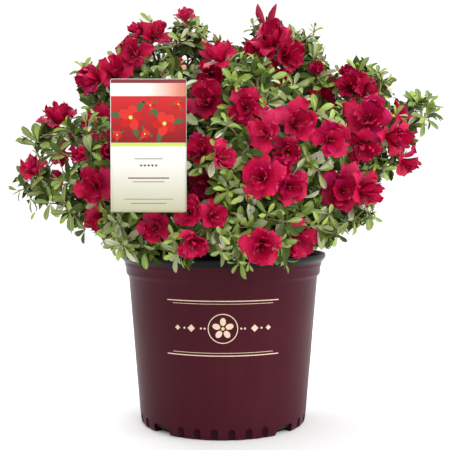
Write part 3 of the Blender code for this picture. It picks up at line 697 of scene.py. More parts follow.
# Each bough: the tier at which it leaves the trunk, and the masses that it carries.
BOUGHS = {
    "bough_crest": (2, ["crest", "upper_right"]),
    "bough_peak": (2, ["peak_left", "shoulder_left"]),
    "bough_left_high": (1, ["left_upper", "left_mid"]),
    "bough_left_low": (0, ["left_tip", "left_low", "left_front"]),
    "bough_front_left": (0, ["low_front_left", "centre_left"]),
    "bough_front": (1, ["front_left", "centre"]),
    "bough_front_right": (0, ["front_right", "low_front_right", "centre_right"]),
    "bough_right_low": (0, ["right_low", "right_side"]),
    "bough_right": (1, ["right_front", "right_tip", "right_upper"]),
    "bough_centre": (2, ["centre_upper", "centre_upper_left"]),
    "bough_heart": (3, ["heart_upper", "heart_low"]),
    "bough_back_left": (0, ["back_left", "back_left_low", "back_left_high"]),
    "bough_back": (1, ["back_mid", "back_low", "back_top"]),
    "bough_back_right": (0, ["back_right", "back_right_low", "back_side_low", "back_right_high"]),
}
CROWN_HEART = Vector((0.0, 0.0, 0.300))
BOUGH_BASE_RADIUS = 0.0031
BOUGH_TIP_RADIUS = 0.0027
BOUGH_SHARE = 0.55
LOWEST_TIER = 0.013
TIER_PITCH = 0.0085
KNEE_OUT = 0.45
KNEE_UP = 0.12
LEAD = 0.004
HEART_SHARE = 0.30
STEM_RADIUS = 0.00125
STEM_RADII = (0.0022, 0.0014)  # as it is drawn, from its foot to its end
GAP = 0.0003
LIMB_STEP = 0.0045
SKIN_AROUND, SKIN_ALONG = 1.7, 260.0  # the scale of a limb's roughness
LIMB_SIDES = 10
STEM_SIDES = 8
COLLAR_SWELL, COLLAR_LENGTH = 0.9, 0.16  # shares of the bough's radius and length


def trunk_width(share):
    """The trunk's radius at a share of its height."""
    for (low, wide), (high, narrow) in zip(TRUNK_PROFILE, TRUNK_PROFILE[1:]):
        if share <= high:
            return wide + (narrow - wide) * (share - low) / (high - low)
    return TRUNK_PROFILE[-1][1]


def bough_route(tier, carried):
    """Where a bough runs: level out of the trunk, then up and out towards its masses."""
    middle = sum((Vector(MASSES[name][0]) for name in carried), Vector()) / len(carried)
    share = (LOWEST_TIER + tier * TIER_PITCH) / TRUNK_HEIGHT
    level = Vector((middle.x, middle.y, 0.0)).normalized()
    start = trunk_axis(share) + level * (trunk_width(share) + GAP)
    tip = start.lerp(middle, BOUGH_SHARE)
    spread = Vector((tip.x - start.x, tip.y - start.y, 0.0))
    knee = start + spread * KNEE_OUT + Vector((0.0, 0.0, (tip.z - start.z) * KNEE_UP))
    clear = start + level * LEAD
    arc = [clear.lerp(knee, t).lerp(knee.lerp(tip, t), t) for t in (0.0, 0.2, 0.4, 0.6, 0.8, 1.0)]
    return [trunk_axis(share) + level * 0.004, start] + arc


def stem_routes(route, carried):
    """One stem for each mass, side by side across the bough's tip, each on its mass's side."""
    tip, heading = route[-1], (route[-1] - route[-2]).normalized()
    across = heading.orthogonal().normalized()
    up = heading.cross(across)
    ways = {name: Vector(MASSES[name][0]) - tip for name in carried}
    angles = {name: math.atan2(way.dot(up), way.dot(across)) for name, way in ways.items()}
    order = sorted(carried, key=angles.get)
    pitch = 2 * math.pi / len(order)
    shift = sum(angles[name] - pitch * i for i, name in enumerate(order)) / len(order)
    ring = (STEM_RADIUS + GAP) / math.sin(math.pi / max(len(order), 2)) if len(order) > 1 else 0.0
    routes = {}
    for i, name in enumerate(order):
        turn = shift + pitch * i
        side = (across * math.cos(turn) + up * math.sin(turn)) * ring
        start = tip + side * 0.5
        middle, reach = Vector(MASSES[name][0]), MASSES[name][1]
        clear = start + heading * LEAD * 2 + side
        heart = middle + (clear - middle).normalized() * reach * HEART_SHARE
        bend = clear.lerp(heart, 0.5) + Vector((0.0, 0.0, LEAD))
        routes[name] = [start - heading * 0.003, start, clear, bend, heart]
    return routes


def unit(way):
    """A vector's way, of length 1."""
    return way / np.linalg.norm(way)


def smooth_route(points, pitch):
    """A route through the points with its corners rounded, in even steps."""
    points = [np.array(p, float) for p in points]
    for _ in range(2):
        cut = [points[0]]
        for a, b in zip(points, points[1:]):
            cut += [a * 0.75 + b * 0.25, a * 0.25 + b * 0.75]
        points = cut + [points[-1]]
    points = np.array(points)
    along = np.r_[0.0, np.cumsum(np.linalg.norm(np.diff(points, axis=0), axis=1))]
    steps = max(3, int(along[-1] / pitch) + 1)
    here = np.linspace(0.0, along[-1], steps)
    return np.stack([np.interp(here, along, points[:, axis]) for axis in range(3)], axis=1)


def tube(heap, route, radii, sides, tone, relief=0.0, seed=0.0):
    """A closed limb along a route, its skin roughened by relief times its radius."""
    route = np.asarray(route, float)
    ways = np.gradient(route, axis=0)
    ways /= np.linalg.norm(ways, axis=1)[:, None]
    side = unit(np.cross(ways[0], (0.3, 0.5, 0.81)))
    turns = np.arange(sides) * 2 * math.pi / sides
    rings = []
    for place, way, radius in zip(route, ways, radii):
        side = unit(side - way * side.dot(way))
        up = np.cross(way, side)
        swell = np.ones(sides)
        if relief:
            swell += relief * np.array([
                noise.noise(Vector((
                    math.cos(t) * SKIN_AROUND + seed, math.sin(t) * SKIN_AROUND, place.sum() * SKIN_ALONG
                )))
                for t in turns
            ])
        skin = np.cos(turns)[:, None] * side + np.sin(turns)[:, None] * up
        rings.append(place + radius * swell[:, None] * skin)
    points = np.concatenate(rings + [route[:1], route[-1:]])
    pairs = [(j, (j + 1) % sides) for j in range(sides)]
    last = (len(route) - 1) * sides
    faces = [
        (i + j, i + k, i + sides + k, i + sides + j) for i in range(0, last, sides) for j, k in pairs
    ]
    for j, k in pairs:
        faces += [(last + sides, k, j), (last + sides + 1, last + j, last + k)]
    heap.add(points, faces, tone)


def tapered(path, wide, narrow):
    """A radius at each point of a path, from wide to narrow."""
    share = np.linspace(0.0, 1.0, len(path))
    return wide + (narrow - wide) * share


limbs = Heap("boughs_and_stems")
stems = {}
limb_paths = []
for seed, (tier, carried) in enumerate(BOUGHS.values()):
    route = bough_route(tier, carried)
    path = smooth_route(route, LIMB_STEP)
    collar = np.clip(1.0 - np.linspace(0.0, 1.0, len(path)) / COLLAR_LENGTH, 0.0, 1.0)
    radii = tapered(path, BOUGH_BASE_RADIUS, BOUGH_TIP_RADIUS) * (1.0 + COLLAR_SWELL * collar ** 2)
    tube(limbs, path, radii, LIMB_SIDES, 0, relief=0.16, seed=seed * 7.3)
    limb_paths.append((path, BOUGH_TIP_RADIUS))
    for name, stem in stem_routes(route, carried).items():
        stems[name] = stem
        path = smooth_route(stem, LIMB_STEP)
        tube(limbs, path, tapered(path, *STEM_RADII), STEM_SIDES, 0, relief=0.14, seed=seed * 3.1)
        limb_paths.append((path, STEM_RADII[0]))
limb_piece = limbs.build([bark])
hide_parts(*BOUGHS)
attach(limb_piece, "root")


# ---------------------------------------------------------------- twigs, leaves and blooms
# From each stem fine twigs fork out through the mass's own space. Each ends in a bloom, a bud
# or a rosette of leaves, and every mass keeps within its reach, so the dome stays as it is.
# Leaves are thin and folded along the midrib, young ones in the hearts of the rosettes.

# Each mass's blooms: the middle of the mouth in millimetres, the turn and rise of the way
# that it faces in degrees, and its width in millimetres. Turn 0 faces -Y and 90 faces +X.
BLOOMS = {
    "crest": [(44, -80, 482, -30, 5, 48), (61, -88, 497, 0, 40, 59), (82, -80, 481, 25, 5, 54),
        (64, -57, 454, 0, -20, 55), (66, 15, 516, 178, 15, 50)],
    "peak_left": [(-49, -53, 535, -10, 65, 33), (-62, -52, 467, -5, 35, 41), (-43, 33, 513, 175, 15, 50)],
    "shoulder_left": [(-110, -39, 519, -50, 25, 33), (-89, -32, 516, 15, 25, 45),
        (-116, -51, 487, -15, -5, 47), (-128, 45, 503, -165, 20, 50)],
    "left_upper": [(-163, -85, 449, -45, 0, 48), (-137, -67, 461, 10, 25, 52),
        (-159, -65, 396, -35, -5, 52), (-172, 13, 450, -178, 15, 50)],
    "left_mid": [(-213, -46, 404, -5, 55, 61), (-235, 48, 394, -170, 10, 50)],
    "left_tip": [(-243, -70, 339, -30, 45, 41), (-240, 23, 322, -178, 5, 50)],
    "left_low": [(-151, -107, 276, -35, -20, 44), (-183, -17, 283, -172, 0, 50)],
    "left_front": [(-151, -152, 315, -5, 0, 55), (-164, -163, 350, -30, 20, 30),
        (-136, -154, 355, 20, 10, 30)],
    "low_front_left": [(-76, -201, 269, 0, 0, 45)],
    "front_left": [(-37, -231, 286, -10, 5, 42), (-33, -236, 252, 10, -25, 44),
        (-10, -232, 283, 30, 10, 39)],
    "front_right": [(42, -231, 250, 0, -10, 53)],
    "low_front_right": [(87, -168, 253, 15, -15, 54)],
    "right_low": [(143, -132, 311, -5, 5, 64), (170, -138, 311, 50, 0, 53)],
    "right_front": [(178, -108, 400, -5, 15, 65), (223, -71, 409, 70, 10, 35),
        (210, -105, 376, 40, -10, 55), (170, -112, 363, -5, -30, 52)],
    "right_tip": [(247, -2, 349, 50, -30, 46), (251, 55, 400, 178, 0, 50)],
    "right_upper": [(167, -48, 447, -15, 15, 50), (185, -51, 439, 35, 20, 44),
        (161, -39, 464, -20, 30, 25), (206, 42, 450, 150, 15, 50)],
    "upper_right": [(134, 4, 430, 0, 10, 49), (121, -47, 466, -10, 30, 28), (119, 50, 491, 178, 5, 50)],
    "centre_upper": [(26, -192, 404, -5, 0, 51), (-5, -148, 469, -35, 35, 48)],
    "centre_upper_left": [(-19, -154, 416, -15, 10, 55), (-15, -125, 450, 0, -15, 41)],
    "centre_right": [(84, -199, 387, 15, 15, 55), (122, -193, 368, 5, 0, 51),
        (72, -200, 354, 0, -10, 45)],
    "centre": [(44, -238, 372, -30, 15, 46), (42, -242, 324, -15, 5, 53), (75, -204, 315, 15, -5, 52),
        (-1, -247, 346, 35, 10, 41), (62, -227, 333, 0, -15, 33)],
    "centre_left": [(-25, -200, 355, -15, 15, 43), (-19, -177, 316, -20, -15, 49)],
    "back_left": [(-229, 116, 389, -120, 10, 50), (-193, 134, 406, -170, 30, 46),
        (-234, 94, 362, -95, -20, 42)],
    "back_left_low": [(-181, 162, 289, -140, 5, 50), (-196, 137, 277, -105, -10, 46),
        (-146, 171, 273, 175, -15, 42)],
    "back_left_high": [(-124, 128, 487, -150, 40, 50), (-152, 112, 451, -110, -5, 46),
        (-109, 145, 459, -175, 5, 42)],
    "back_mid": [(-15, 231, 393, 180, 20, 50), (15, 223, 361, 145, -15, 46),
        (-42, 226, 366, -150, -10, 42)],
    "back_low": [(-67, 226, 283, -165, 10, 50), (-47, 224, 259, 170, -20, 46)],
    "back_right_low": [(81, 215, 274, 160, 5, 50), (100, 199, 254, 130, -20, 46)],
    "back_right": [(151, 185, 379, 150, 15, 50), (173, 157, 383, 110, 20, 46),
        (134, 190, 347, 170, -20, 42)],
    "back_side_low": [(201, 104, 293, 115, 10, 50), (189, 119, 273, 140, -15, 46)],
    "back_top": [(23, 133, 498, 170, 25, 50), (2, 121, 513, -160, 45, 46), (6, 137, 466, -170, -10, 42)],
    "back_right_high": [(152, 125, 469, 130, 30, 50), (132, 144, 449, 165, 5, 46)],
}
# Each mass's chief shoots: the place of the rosette in millimetres, the turn and rise of the way
# that it faces in degrees, the length of its leaves in millimetres, how many they are, and
# their tone.
SHOOTS = {
    "crest": [(38, -80, 519, -20, 50, 13, 5, 1), (50, -86, 518, 10, 60, 13, 5, 2),
        (91, -82, 506, 20, 50, 15, 6, 3), (106, -70, 506, 30, 55, 15, 6, 1)],
    "peak_left": [(-32, -62, 517, 30, 35, 18, 5, 1), (-26, -62, 507, 35, 10, 18, 5, 2),
        (-69, -50, 533, -20, 60, 16, 5, 1), (-58, -64, 485, 0, 40, 18, 7, 3),
        (-55, -66, 504, 0, 30, 18, 6, 2)],
    "shoulder_left": [(-96, -8, 536, -10, 50, 20, 6, 2), (-137, -48, 484, -10, 50, 16, 5, 3),
        (-95, -46, 501, 5, 20, 16, 4, 1)],
    "left_upper": [(-176, -78, 466, -15, 55, 18, 6, 1), (-155, -74, 469, 0, 60, 13, 5, 1),
        (-186, -82, 454, -60, 20, 16, 5, 0), (-181, -86, 441, -50, 0, 15, 4, 0),
        (-166, -82, 416, -20, 10, 16, 4, 1)],
    "left_mid": [(-241, -50, 375, -25, 45, 27, 8, 1)],
    "left_tip": [(-248, -46, 364, -70, 5, 21, 3, 1), (-240, -60, 356, -70, -5, 21, 3, 0),
        (-262, -46, 382, -84, 8, 15, 3, 1), (-262, -70, 311, -86, 0, 17, 3, 1),
        (-239, -76, 318, -20, 20, 27, 7, 3), (-252, -74, 312, -60, 10, 24, 5, 1),
        (-246, -72, 299, -50, -30, 22, 4, 0), (-240, -64, 285, -55, -30, 18, 3, 2),
        (-227, -74, 308, 20, -10, 19, 5, 0)],
    "left_low": [(-216, -94, 295, 0, -10, 20, 6, 1), (-189, -114, 283, 0, -20, 22, 6, 1),
        (-171, -110, 260, -20, -30, 17, 5, 1)],
    "left_front": [(-199, -150, 360, 10, 10, 19, 4, 0), (-182, -162, 351, 30, 0, 19, 5, 0),
        (-154, -162, 358, 10, 30, 20, 8, 3), (-148, -134, 299, 0, 0, 19, 6, 2)],
    "low_front_left": [(-114, -204, 248, -15, -35, 18, 5, 1), (-90, -206, 247, 10, -30, 15, 4, 1),
        (-71, -200, 243, 0, -35, 16, 5, 2), (-105, -196, 288, 0, 0, 17, 6, 1)],
    "front_left": [(-43, -228, 239, 0, -45, 16, 5, 1), (-1, -228, 243, 0, -40, 16, 5, 1),
        (-3, -234, 262, 0, -20, 16, 6, 2), (-53, -230, 256, 0, -20, 15, 5, 1)],
    "front_right": [(29, -218, 229, 0, -30, 11, 6, 4), (43, -212, 217, 20, -50, 14, 4, 2),
        (14, -216, 247, 0, -60, 11, 4, 2), (49, -226, 284, 0, 0, 18, 6, 1),
        (19, -220, 272, 0, -10, 17, 6, 3)],
    "low_front_right": [(133, -170, 258, 10, -35, 16, 5, 1), (114, -174, 245, 15, 0, 14, 6, 3),
        (93, -152, 296, 0, -55, 19, 3, 2), (124, -168, 282, 0, -20, 19, 6, 1),
        (100, -174, 267, 0, -20, 16, 6, 2)],
    "right_low": [(179, -134, 319, 20, -40, 24, 3, 0), (176, -140, 293, 60, -25, 23, 4, 2),
        (178, -138, 281, 50, -35, 22, 4, 2), (158, -136, 273, 20, -40, 19, 5, 1),
        (157, -120, 336, 5, 10, 16, 6, 1)],
    "right_front": [(231, -80, 374, 0, -30, 20, 3, 0), (200, -92, 337, 0, 10, 15, 6, 4),
        (215, -90, 406, 0, 40, 16, 6, 3), (148, -96, 401, 0, 30, 14, 7, 4)],
    "right_tip": [(255, -42, 424, 5, 50, 26, 8, 1), (263, -46, 406, 15, 20, 25, 7, 1),
        (269, -36, 426, 25, 50, 20, 5, 3), (238, -46, 395, -10, 10, 17, 6, 2)],
    "right_upper": [(175, -44, 466, -5, 55, 23, 6, 3), (200, -42, 462, 15, 50, 18, 8, 1),
        (215, -38, 454, 60, 15, 18, 4, 2)],
    "upper_right": [(119, -38, 523, 10, 70, 12, 5, 4), (124, -52, 489, 60, 20, 19, 5, 2),
        (128, -50, 478, 60, 0, 18, 4, 2), (153, -32, 466, 0, 45, 15, 5, 2),
        (130, -36, 450, 0, 40, 16, 6, 4)],
    "centre_upper": [(30, -194, 410, 10, 30, 11, 4, 4), (19, -190, 436, 0, 35, 14, 5, 4),
        (-10, -154, 455, 0, 20, 14, 5, 0)],
    "centre_upper_left": [(-32, -162, 391, 5, 30, 15, 6, 3)],
    "centre_right": [(94, -202, 350, 0, 20, 15, 6, 2), (97, -196, 336, 0, -60, 18, 4, 2),
        (115, -196, 354, 5, 40, 14, 5, 4), (91, -188, 405, 0, 30, 14, 6, 3)],
    "centre": [(23, -234, 305, -10, -10, 16, 6, 1), (10, -240, 332, 10, 20, 19, 6, 3),
        (5, -238, 311, -20, 10, 17, 7, 3), (-25, -226, 338, 0, 20, 15, 6, 1)],
    "heart_upper": [(89, -76, 445, -5, 30, 18, 8, 2)],
}
# Long pointed buds: the mass, and each bud's foot and tip in millimetres.
TALL_BUDS = [
    ("crest", (54, -32, 527), (45, -34, 555)),
    ("crest", (60, -28, 521), (70, -30, 556)),
]
BUD_RADIUS = 0.0050
DIRECTIONS = 42
AIRY = {  # the masses that stand open against the light, and how many shoots fill each
    "left_tip": 9, "left_mid": 11, "left_low": 20, "left_front": 30, "left_upper": 24,
    "shoulder_left": 22, "peak_left": 18, "crest": 28, "upper_right": 26, "right_upper": 26,
    "right_tip": 11, "right_side": 24, "right_low": 34,
}
INNER_SHARE = 0.26  # of the shoots, grown short in the depth of the mass
INNER_INSET = 0.60
MASS_TURN = 0.37
OUTWARD_PULL, UPWARD_PULL = 3, 0.35
STEM_ANGLE = math.radians(32.0)
SHARPEST_FORK = math.radians(80.0)
FORK_SHARES = (0.40, 0.72)
SIDE_LEAVES = (0.55, 0.70, 0.85)  # their places, as shares of a shoot
INSETS = (1.04, 0.97, 0.90, 0.83, 0.76, 0.69, 0.62, 0.55, 0.48)
LEAF_LENGTHS = (0.0235, 0.0330)
LEAF_WIDTH = 0.37  # of its length
CHIEF_STRETCH = 1.18  # a chief shoot's oldest leaves are this much longer than its row says
ROSETTE_LEAVES = (6, 9)
GOLDEN = math.radians(137.5)
ROSETTE_LIFT = 64.0  # how far its youngest leaves rise, in degrees
ROSETTE_DEPTH = 0.0075  # from its oldest leaf's foot to its youngest's
LEAF_FOOT = 0.0012  # out from the shoot's middle
LEAF_ROUGH = 0.33
LEAF_ROLL = 0.38
OVERHANG = 0.93  # a leaf's tip may pass its mass's reach by about a fourteenth
CHIEF_OVERHANG = 0.84
NECK = 0.62  # from a bloom's mouth down to its neck, in radii
CLOSED_RADIUS = 0.016  # blooms smaller than this are half open
BROWN_FROM = 0.00095  # twigs thicker than this at their foot are brown
THINNEST_TWIG = 0.0007
TAG_TWIG = 0.0012
LEAF_TONES = [
    # name, colour, how often a spray takes it
    ("leaf_deep", (0.046, 0.074, 0.012), 17),
    ("leaf_mid", (0.142, 0.208, 0.032), 38),
    # The sage tone is a grey green leaf colour, made paler and greyer as a painted sheen.
    ("leaf_sage_sheen", (0.246, 0.278, 0.128), 22),
    ("leaf_fresh", (0.176, 0.276, 0.026), 17),
    ("leaf_young", (0.256, 0.366, 0.042), 0),
    # Painted highlight: the pale tone stands in for the sheen on glossy leaves.
    ("leaf_painted_sheen", (0.480, 0.500, 0.350), 6),
    ("leaf_rib", (0.330, 0.372, 0.136), 0),
]
DEEP, MID, SAGE_SHEEN, FRESH, YOUNG, PAINTED_SHEEN, RIB = range(7)
KIN = {  # the tones that the leaves of one spray share out
    DEEP: (DEEP, DEEP, DEEP, MID), MID: (MID, MID, MID, DEEP, FRESH), SAGE_SHEEN: (SAGE_SHEEN, SAGE_SHEEN, MID, PAINTED_SHEEN),
    FRESH: (FRESH, FRESH, MID, SAGE_SHEEN), YOUNG: (YOUNG, FRESH), PAINTED_SHEEN: (PAINTED_SHEEN, SAGE_SHEEN, MID),
}
PETAL_TONES = [
    ("petal_throat", (0.430, 0.0016, 0.0270)),
    ("petal_wine", (0.462, 0.0014, 0.0440)),
    ("petal_crimson", (0.490, 0.0020, 0.0500)),
    ("petal_rose", (0.490, 0.0080, 0.0640)),
    ("petal_magenta", (0.440, 0.0015, 0.0660)),
]
THROAT, WINE, CRIMSON, ROSE, MAGENTA = range(5)


# The crown's outline as the show side's camera sees it, drawn on the plane through the pot's
# axis: across and height in millimetres. Leaves keep inside it.
OUTLINE = [
    (48, 541), (74, 541), (84, 533), (104, 535), (110, 526), (128, 545), (130, 505), (137, 498),
    (141, 476), (162, 475), (172, 489), (194, 495), (217, 481), (233, 460), (228, 440), (246, 440),
    (253, 454), (289, 450), (292, 436), (302, 410), (285, 398), (268, 395), (254, 380), (263, 350),
    (254, 329), (240, 328), (204, 320), (197, 305), (218, 278), (205, 264), (165, 258), (139, 225),
    (60, 180), (-101, 200), (-140, 222), (-165, 230), (-181, 248), (-192, 268), (-206, 247), (-217, 270),
    (-235, 289), (-259, 278), (-246, 296), (-277, 293), (-270, 306), (-294, 312), (-280, 330),
    (-282, 346), (-257, 356), (-272, 366), (-281, 388), (-250, 402), (-247, 419), (-218, 428),
    (-200, 412), (-188, 425), (-195, 446), (-196, 458), (-219, 470), (-200, 488), (-175, 486),
    (-142, 494), (-140, 512), (-124, 522), (-118, 540), (-90, 556), (-68, 540), (-62, 557), (-38, 556),
    (-27, 540), (-19, 528), (-5, 529), (19, 505), (38, 524), (30, 545),
]
# Gaps that the show side sees open air through: across, height and radius, as above.
GAPS = [
    (-223, 342, 12), (-212, 353, 9), (-227, 324, 8), (-235, 355, 5), (-221, 369, 12),
    (252, 383, 8), (-93, 490, 8), (-93, 467, 7), (-205, 367, 11), (219, 312, 7), (233, 434, 5),
]
OUTLINE_EASE = 0.0045
CHIEF_EASE = 0.0220
OUTLINE_MARGIN = 0.0150
SHADE_PAINTED_SHARE = 0.75  # shoots nearer their mass's middle than this are plain, and painted dark as shade
SPACE_OVERLAP = 0.004
TAG_HOOK = np.array((-0.0790, -0.2470, 0.3920))  # the care tag hangs here
CARD_CLEAR = (0.044, -0.2455, 0.280)  # half its width, how far back and how low it needs room
POT_CLEAR = [
    # below this height, twigs and leaves keep out between these radii
    (0.2135, -1.0, 0.133), (0.2320, 0.124, 0.1425), (0.2170, -1.0, 0.137),
]
# Turns about the pot at which a spray hangs over the rim. Between them the lip shows.
RIM_SPRAYS = np.array([-62, -47, -31, -15, 4, 24, 73, 96, 118, 141, 163, -172, -150, -127, -104, -84])
RIM_SPRAY_HALF = 4.5
RIM_BAND = (0.150, 0.2390)


def compass(turn, rise):
    """The direction that a turn from -Y towards +X and a rise from level give, in degrees."""
    turn, rise = math.radians(turn), math.radians(rise)
    return Vector((math.sin(turn) * math.cos(rise), -math.cos(turn) * math.cos(rise), math.sin(rise)))


def spread_direction(step, offset):
    """The step-th of an endless series of directions that stay evenly spread at any length."""
    height = 1.0 - 2.0 * ((0.5 + step * 0.7548776662) % 1.0)
    turn = 2 * math.pi * ((offset + step * 0.5698402910) % 1.0)
    level = math.sqrt(1.0 - height * height)
    return Vector((level * math.cos(turn), level * math.sin(turn), height))


NEIGHBOURS = {}
for name, (middle, reach) in MASSES.items():
    NEIGHBOURS[name] = []
    for other, (there, far) in MASSES.items():
        away = there - middle
        length = float(np.linalg.norm(away))
        if other != name and length < reach + far:
            limit = (length ** 2 + reach ** 2 - far ** 2) / 2
            NEIGHBOURS[name].append((away, limit + SPACE_OVERLAP * length))


def in_space(points, name, overhang=OVERHANG):
    """Whether the points keep to a mass's own space, or pass it by no more than the overhang."""
    offsets = (np.asarray(points) - MASSES[name][0]) * overhang
    if (np.linalg.norm(offsets, axis=1) > MASSES[name][1]).any():
        return False
    return not any((offsets @ away > limit).any() for away, limit in NEIGHBOURS[name])


OUTLINE_FROM = np.array(OUTLINE) / 1000.0
OUTLINE_TO = np.roll(OUTLINE_FROM, -1, axis=0)
GAP_ROWS = np.array(GAPS) / 1000.0


def within_outline(point, ease=OUTLINE_EASE):
    """Whether a point seen from the show side lies in the outline, or passes it by the ease."""
    depth = -CAMERA_PLACE[1] / (point[1] - CAMERA_PLACE[1])
    seen = np.array((point[0] * depth, CAMERA_PLACE[2] + (point[2] - CAMERA_PLACE[2]) * depth))
    if (np.linalg.norm(GAP_ROWS[:, :2] - seen, axis=1) < GAP_ROWS[:, 2]).any():
        return False
    a, b = OUTLINE_FROM, OUTLINE_TO
    crossing = (a[:, 1] > seen[1]) != (b[:, 1] > seen[1])
    rise = np.where(crossing, b[:, 1] - a[:, 1], 1.0)
    across = a[:, 0] + (seen[1] - a[:, 1]) / rise * (b[:, 0] - a[:, 0])
    inside = np.count_nonzero(crossing & (seen[0] < across)) % 2 == 1
    run = b - a
    share = np.clip(((seen - a) * run).sum(axis=1) / (run * run).sum(axis=1), 0.0, 1.0)
    gap = np.linalg.norm(a + share[:, None] * run - seen, axis=1).min()
    return gap <= ease if not inside else gap >= -ease


def clear_of_pot(points):
    """Whether the points keep out of the mix and the pot's wall, and off the care tag."""
    points = np.asarray(points)
    out = np.hypot(points[:, 0], points[:, 1])
    high = points[:, 2]
    for top, within, beyond in POT_CLEAR:
        if ((high < top) & (out > within) & (out < beyond)).any():
            return False
    at_rim = (high > RIM_BAND[0]) & (high < RIM_BAND[1])
    if at_rim.any():
        turns = np.degrees(np.arctan2(points[:, 0], -points[:, 1]))
        off_spray = abs((turns[:, None] - RIM_SPRAYS + 180) % 360 - 180).min(axis=1)
        if (at_rim & (off_spray > RIM_SPRAY_HALF)).any():
            return False
    wide, back, low = CARD_CLEAR
    on_card = (abs(points[:, 0] - TAG_HOOK[0]) < wide) & (points[:, 1] < back) & (high > low)
    return not on_card.any()


bloom_rows = []
for name, rows in BLOOMS.items():
    for across, deep, high, turn, rise, wide in rows:
        mouth = np.array((across, deep, high)) / 1000.0
        bloom_rows.append((name, mouth, compass(turn, rise), wide / 2000.0))
BLOOM_MOUTHS = np.array([row[1] for row in bloom_rows])
BLOOM_WAYS = np.array([tuple(row[2]) for row in bloom_rows])
BLOOM_RADII = np.array([row[3] for row in bloom_rows])


def hides_bloom(point, share=0.76, far=0.040):
    """Whether a point lies in a bloom or in front of one."""
    offsets = np.asarray(point) - BLOOM_MOUTHS
    along = (offsets * BLOOM_WAYS).sum(axis=1)
    off_axis = np.linalg.norm(offsets - along[:, None] * BLOOM_WAYS, axis=1)
    before = (along > -0.35 * BLOOM_RADII) & (along < far)
    return bool((before & (off_axis < share * BLOOM_RADII)).any())


def has_room(place):
    """Whether a rosette's foot is clear of the pot, the outline and the blooms."""
    return (clear_of_pot([place]) and within_outline(place, -OUTLINE_MARGIN)
            and not hides_bloom(place, 0.95))


# A leaf: shares of its length, and at each the half width as a share of the widest.
LEAF_RIB = np.array([0.0, 0.20, 0.46, 0.72, 0.91, 1.0])
LEAF_EDGE = np.array([0.0, 0.42, 0.84, 1.0, 0.64, 0.0])
RIB_HALF = 0.00034
LEAF_FACES = [(0, 4, 3), (0, 3, 2), (0, 2, 1), (13, 14, 17), (14, 15, 17), (15, 16, 17)] + [
    (row + i, row + i + 1, row + i + 5, row + i + 4) for row in (1, 5, 9) for i in range(3)
]
ON_RIB = [1, 4, 7, 10, 13]
PLAIN_FACES = [(0, 3, 2), (0, 2, 1), (1, 2, 5, 4), (2, 3, 6, 5), (4, 5, 7), (5, 6, 7)]


def add_leaf(heap, root, way, up, length, width, fold, droop, tone, plain=False):
    """One folded leaf from its root along its way, its upper side towards up. A plain one, for
    the depth of the crown, has no rib."""
    side = unit(np.cross(way, up))
    face = np.cross(side, way)
    along, half = LEAF_RIB, LEAF_EDGE
    if plain:
        along, half = LEAF_RIB[[0, 1, 3, 5]], LEAF_EDGE[[0, 1, 3, 5]] * 1.06
    rib = (
        root
        + (length * (along - droop ** 2 * along ** 3 / 6))[:, None] * way
        - (length * droop * along ** 2 / 2)[:, None] * face
    )
    inner = rib[1:-1]
    edge = half[1:-1, None] * width
    spread = edge * math.cos(fold) * side
    lift = edge * math.sin(fold) * face
    if plain:
        ribs, faces, tones = [inner], PLAIN_FACES, tone
    else:
        ribs, faces = [inner - RIB_HALF * side, inner + RIB_HALF * side], LEAF_FACES
        tones = [RIB if i in ON_RIB and tone != DEEP else tone for i in range(len(faces))]
    strips = np.stack([inner - spread + lift, *ribs, inner + spread + lift], axis=1)
    heap.add(np.concatenate([rib[:1], strips.reshape(-1, 3), rib[-1:]]), faces, tones)


def add_rosette(rng, place, heading, size, tone, count, name, flat=0.0, chief=False, least=0.6,
                heap=None, low=6.0):
    """A rosette at a shoot's end: old leaves spread below, young ones stand in the middle. It
    grows only if at least this share of its leaves has room. Returns whether it grew."""
    heap = heap or leaves
    heading = np.array(heading)
    across = unit(np.cross(heading, (0.37, 0.61, 0.7)))
    other = np.cross(heading, across)
    spin = rng.uniform(0.0, 2 * math.pi)
    youth = 0.68 if chief else 0.52  # the youngest leaf's share of the oldest one's length
    grown = []
    for leaf in range(count):
        age = 1.0 - leaf / max(1, count - 1)
        turn = spin + GOLDEN * leaf + rng.uniform(-0.2, 0.2)
        lift = low + (ROSETTE_LIFT - low) * (1.0 - age) ** 1.4 * (1.0 - flat) + rng.uniform(-12.0, 14.0)
        lift = math.radians(lift)
        out = math.cos(turn) * across + math.sin(turn) * other
        way = math.cos(lift) * out + math.sin(lift) * heading
        up = math.cos(lift) * heading - math.sin(lift) * out
        up = up + rng.gauss(0.0, LEAF_ROLL) * np.cross(way, up)
        length = size * (youth + (1.0 - youth) * age ** 0.6) * rng.uniform(0.86, 1.08)
        root = place - heading * (ROSETTE_DEPTH * age) + out * LEAF_FOOT
        tip = root + way * length
        middle = root + way * length * 0.55
        shade = YOUNG if age < 0.24 and tone != DEEP else rng.choice(KIN[tone])
        width = length * LEAF_WIDTH * rng.uniform(0.44, 0.60)
        fold, droop = rng.uniform(0.22, 0.60), rng.uniform(0.10, 0.70)
        if name and not in_space([tip], name, CHIEF_OVERHANG if chief else OVERHANG):
            continue
        if not clear_of_pot([tip, middle]) or hides_bloom(tip) or hides_bloom(middle):
            continue
        if within_outline(tip, CHIEF_EASE if chief else OUTLINE_EASE):
            grown.append((root, way, up, length, width, fold, droop, shade))
    if len(grown) < least * count:
        return False
    for leaf in grown:
        add_leaf(heap, *leaf, plain=heap is inner_leaves)
    return True


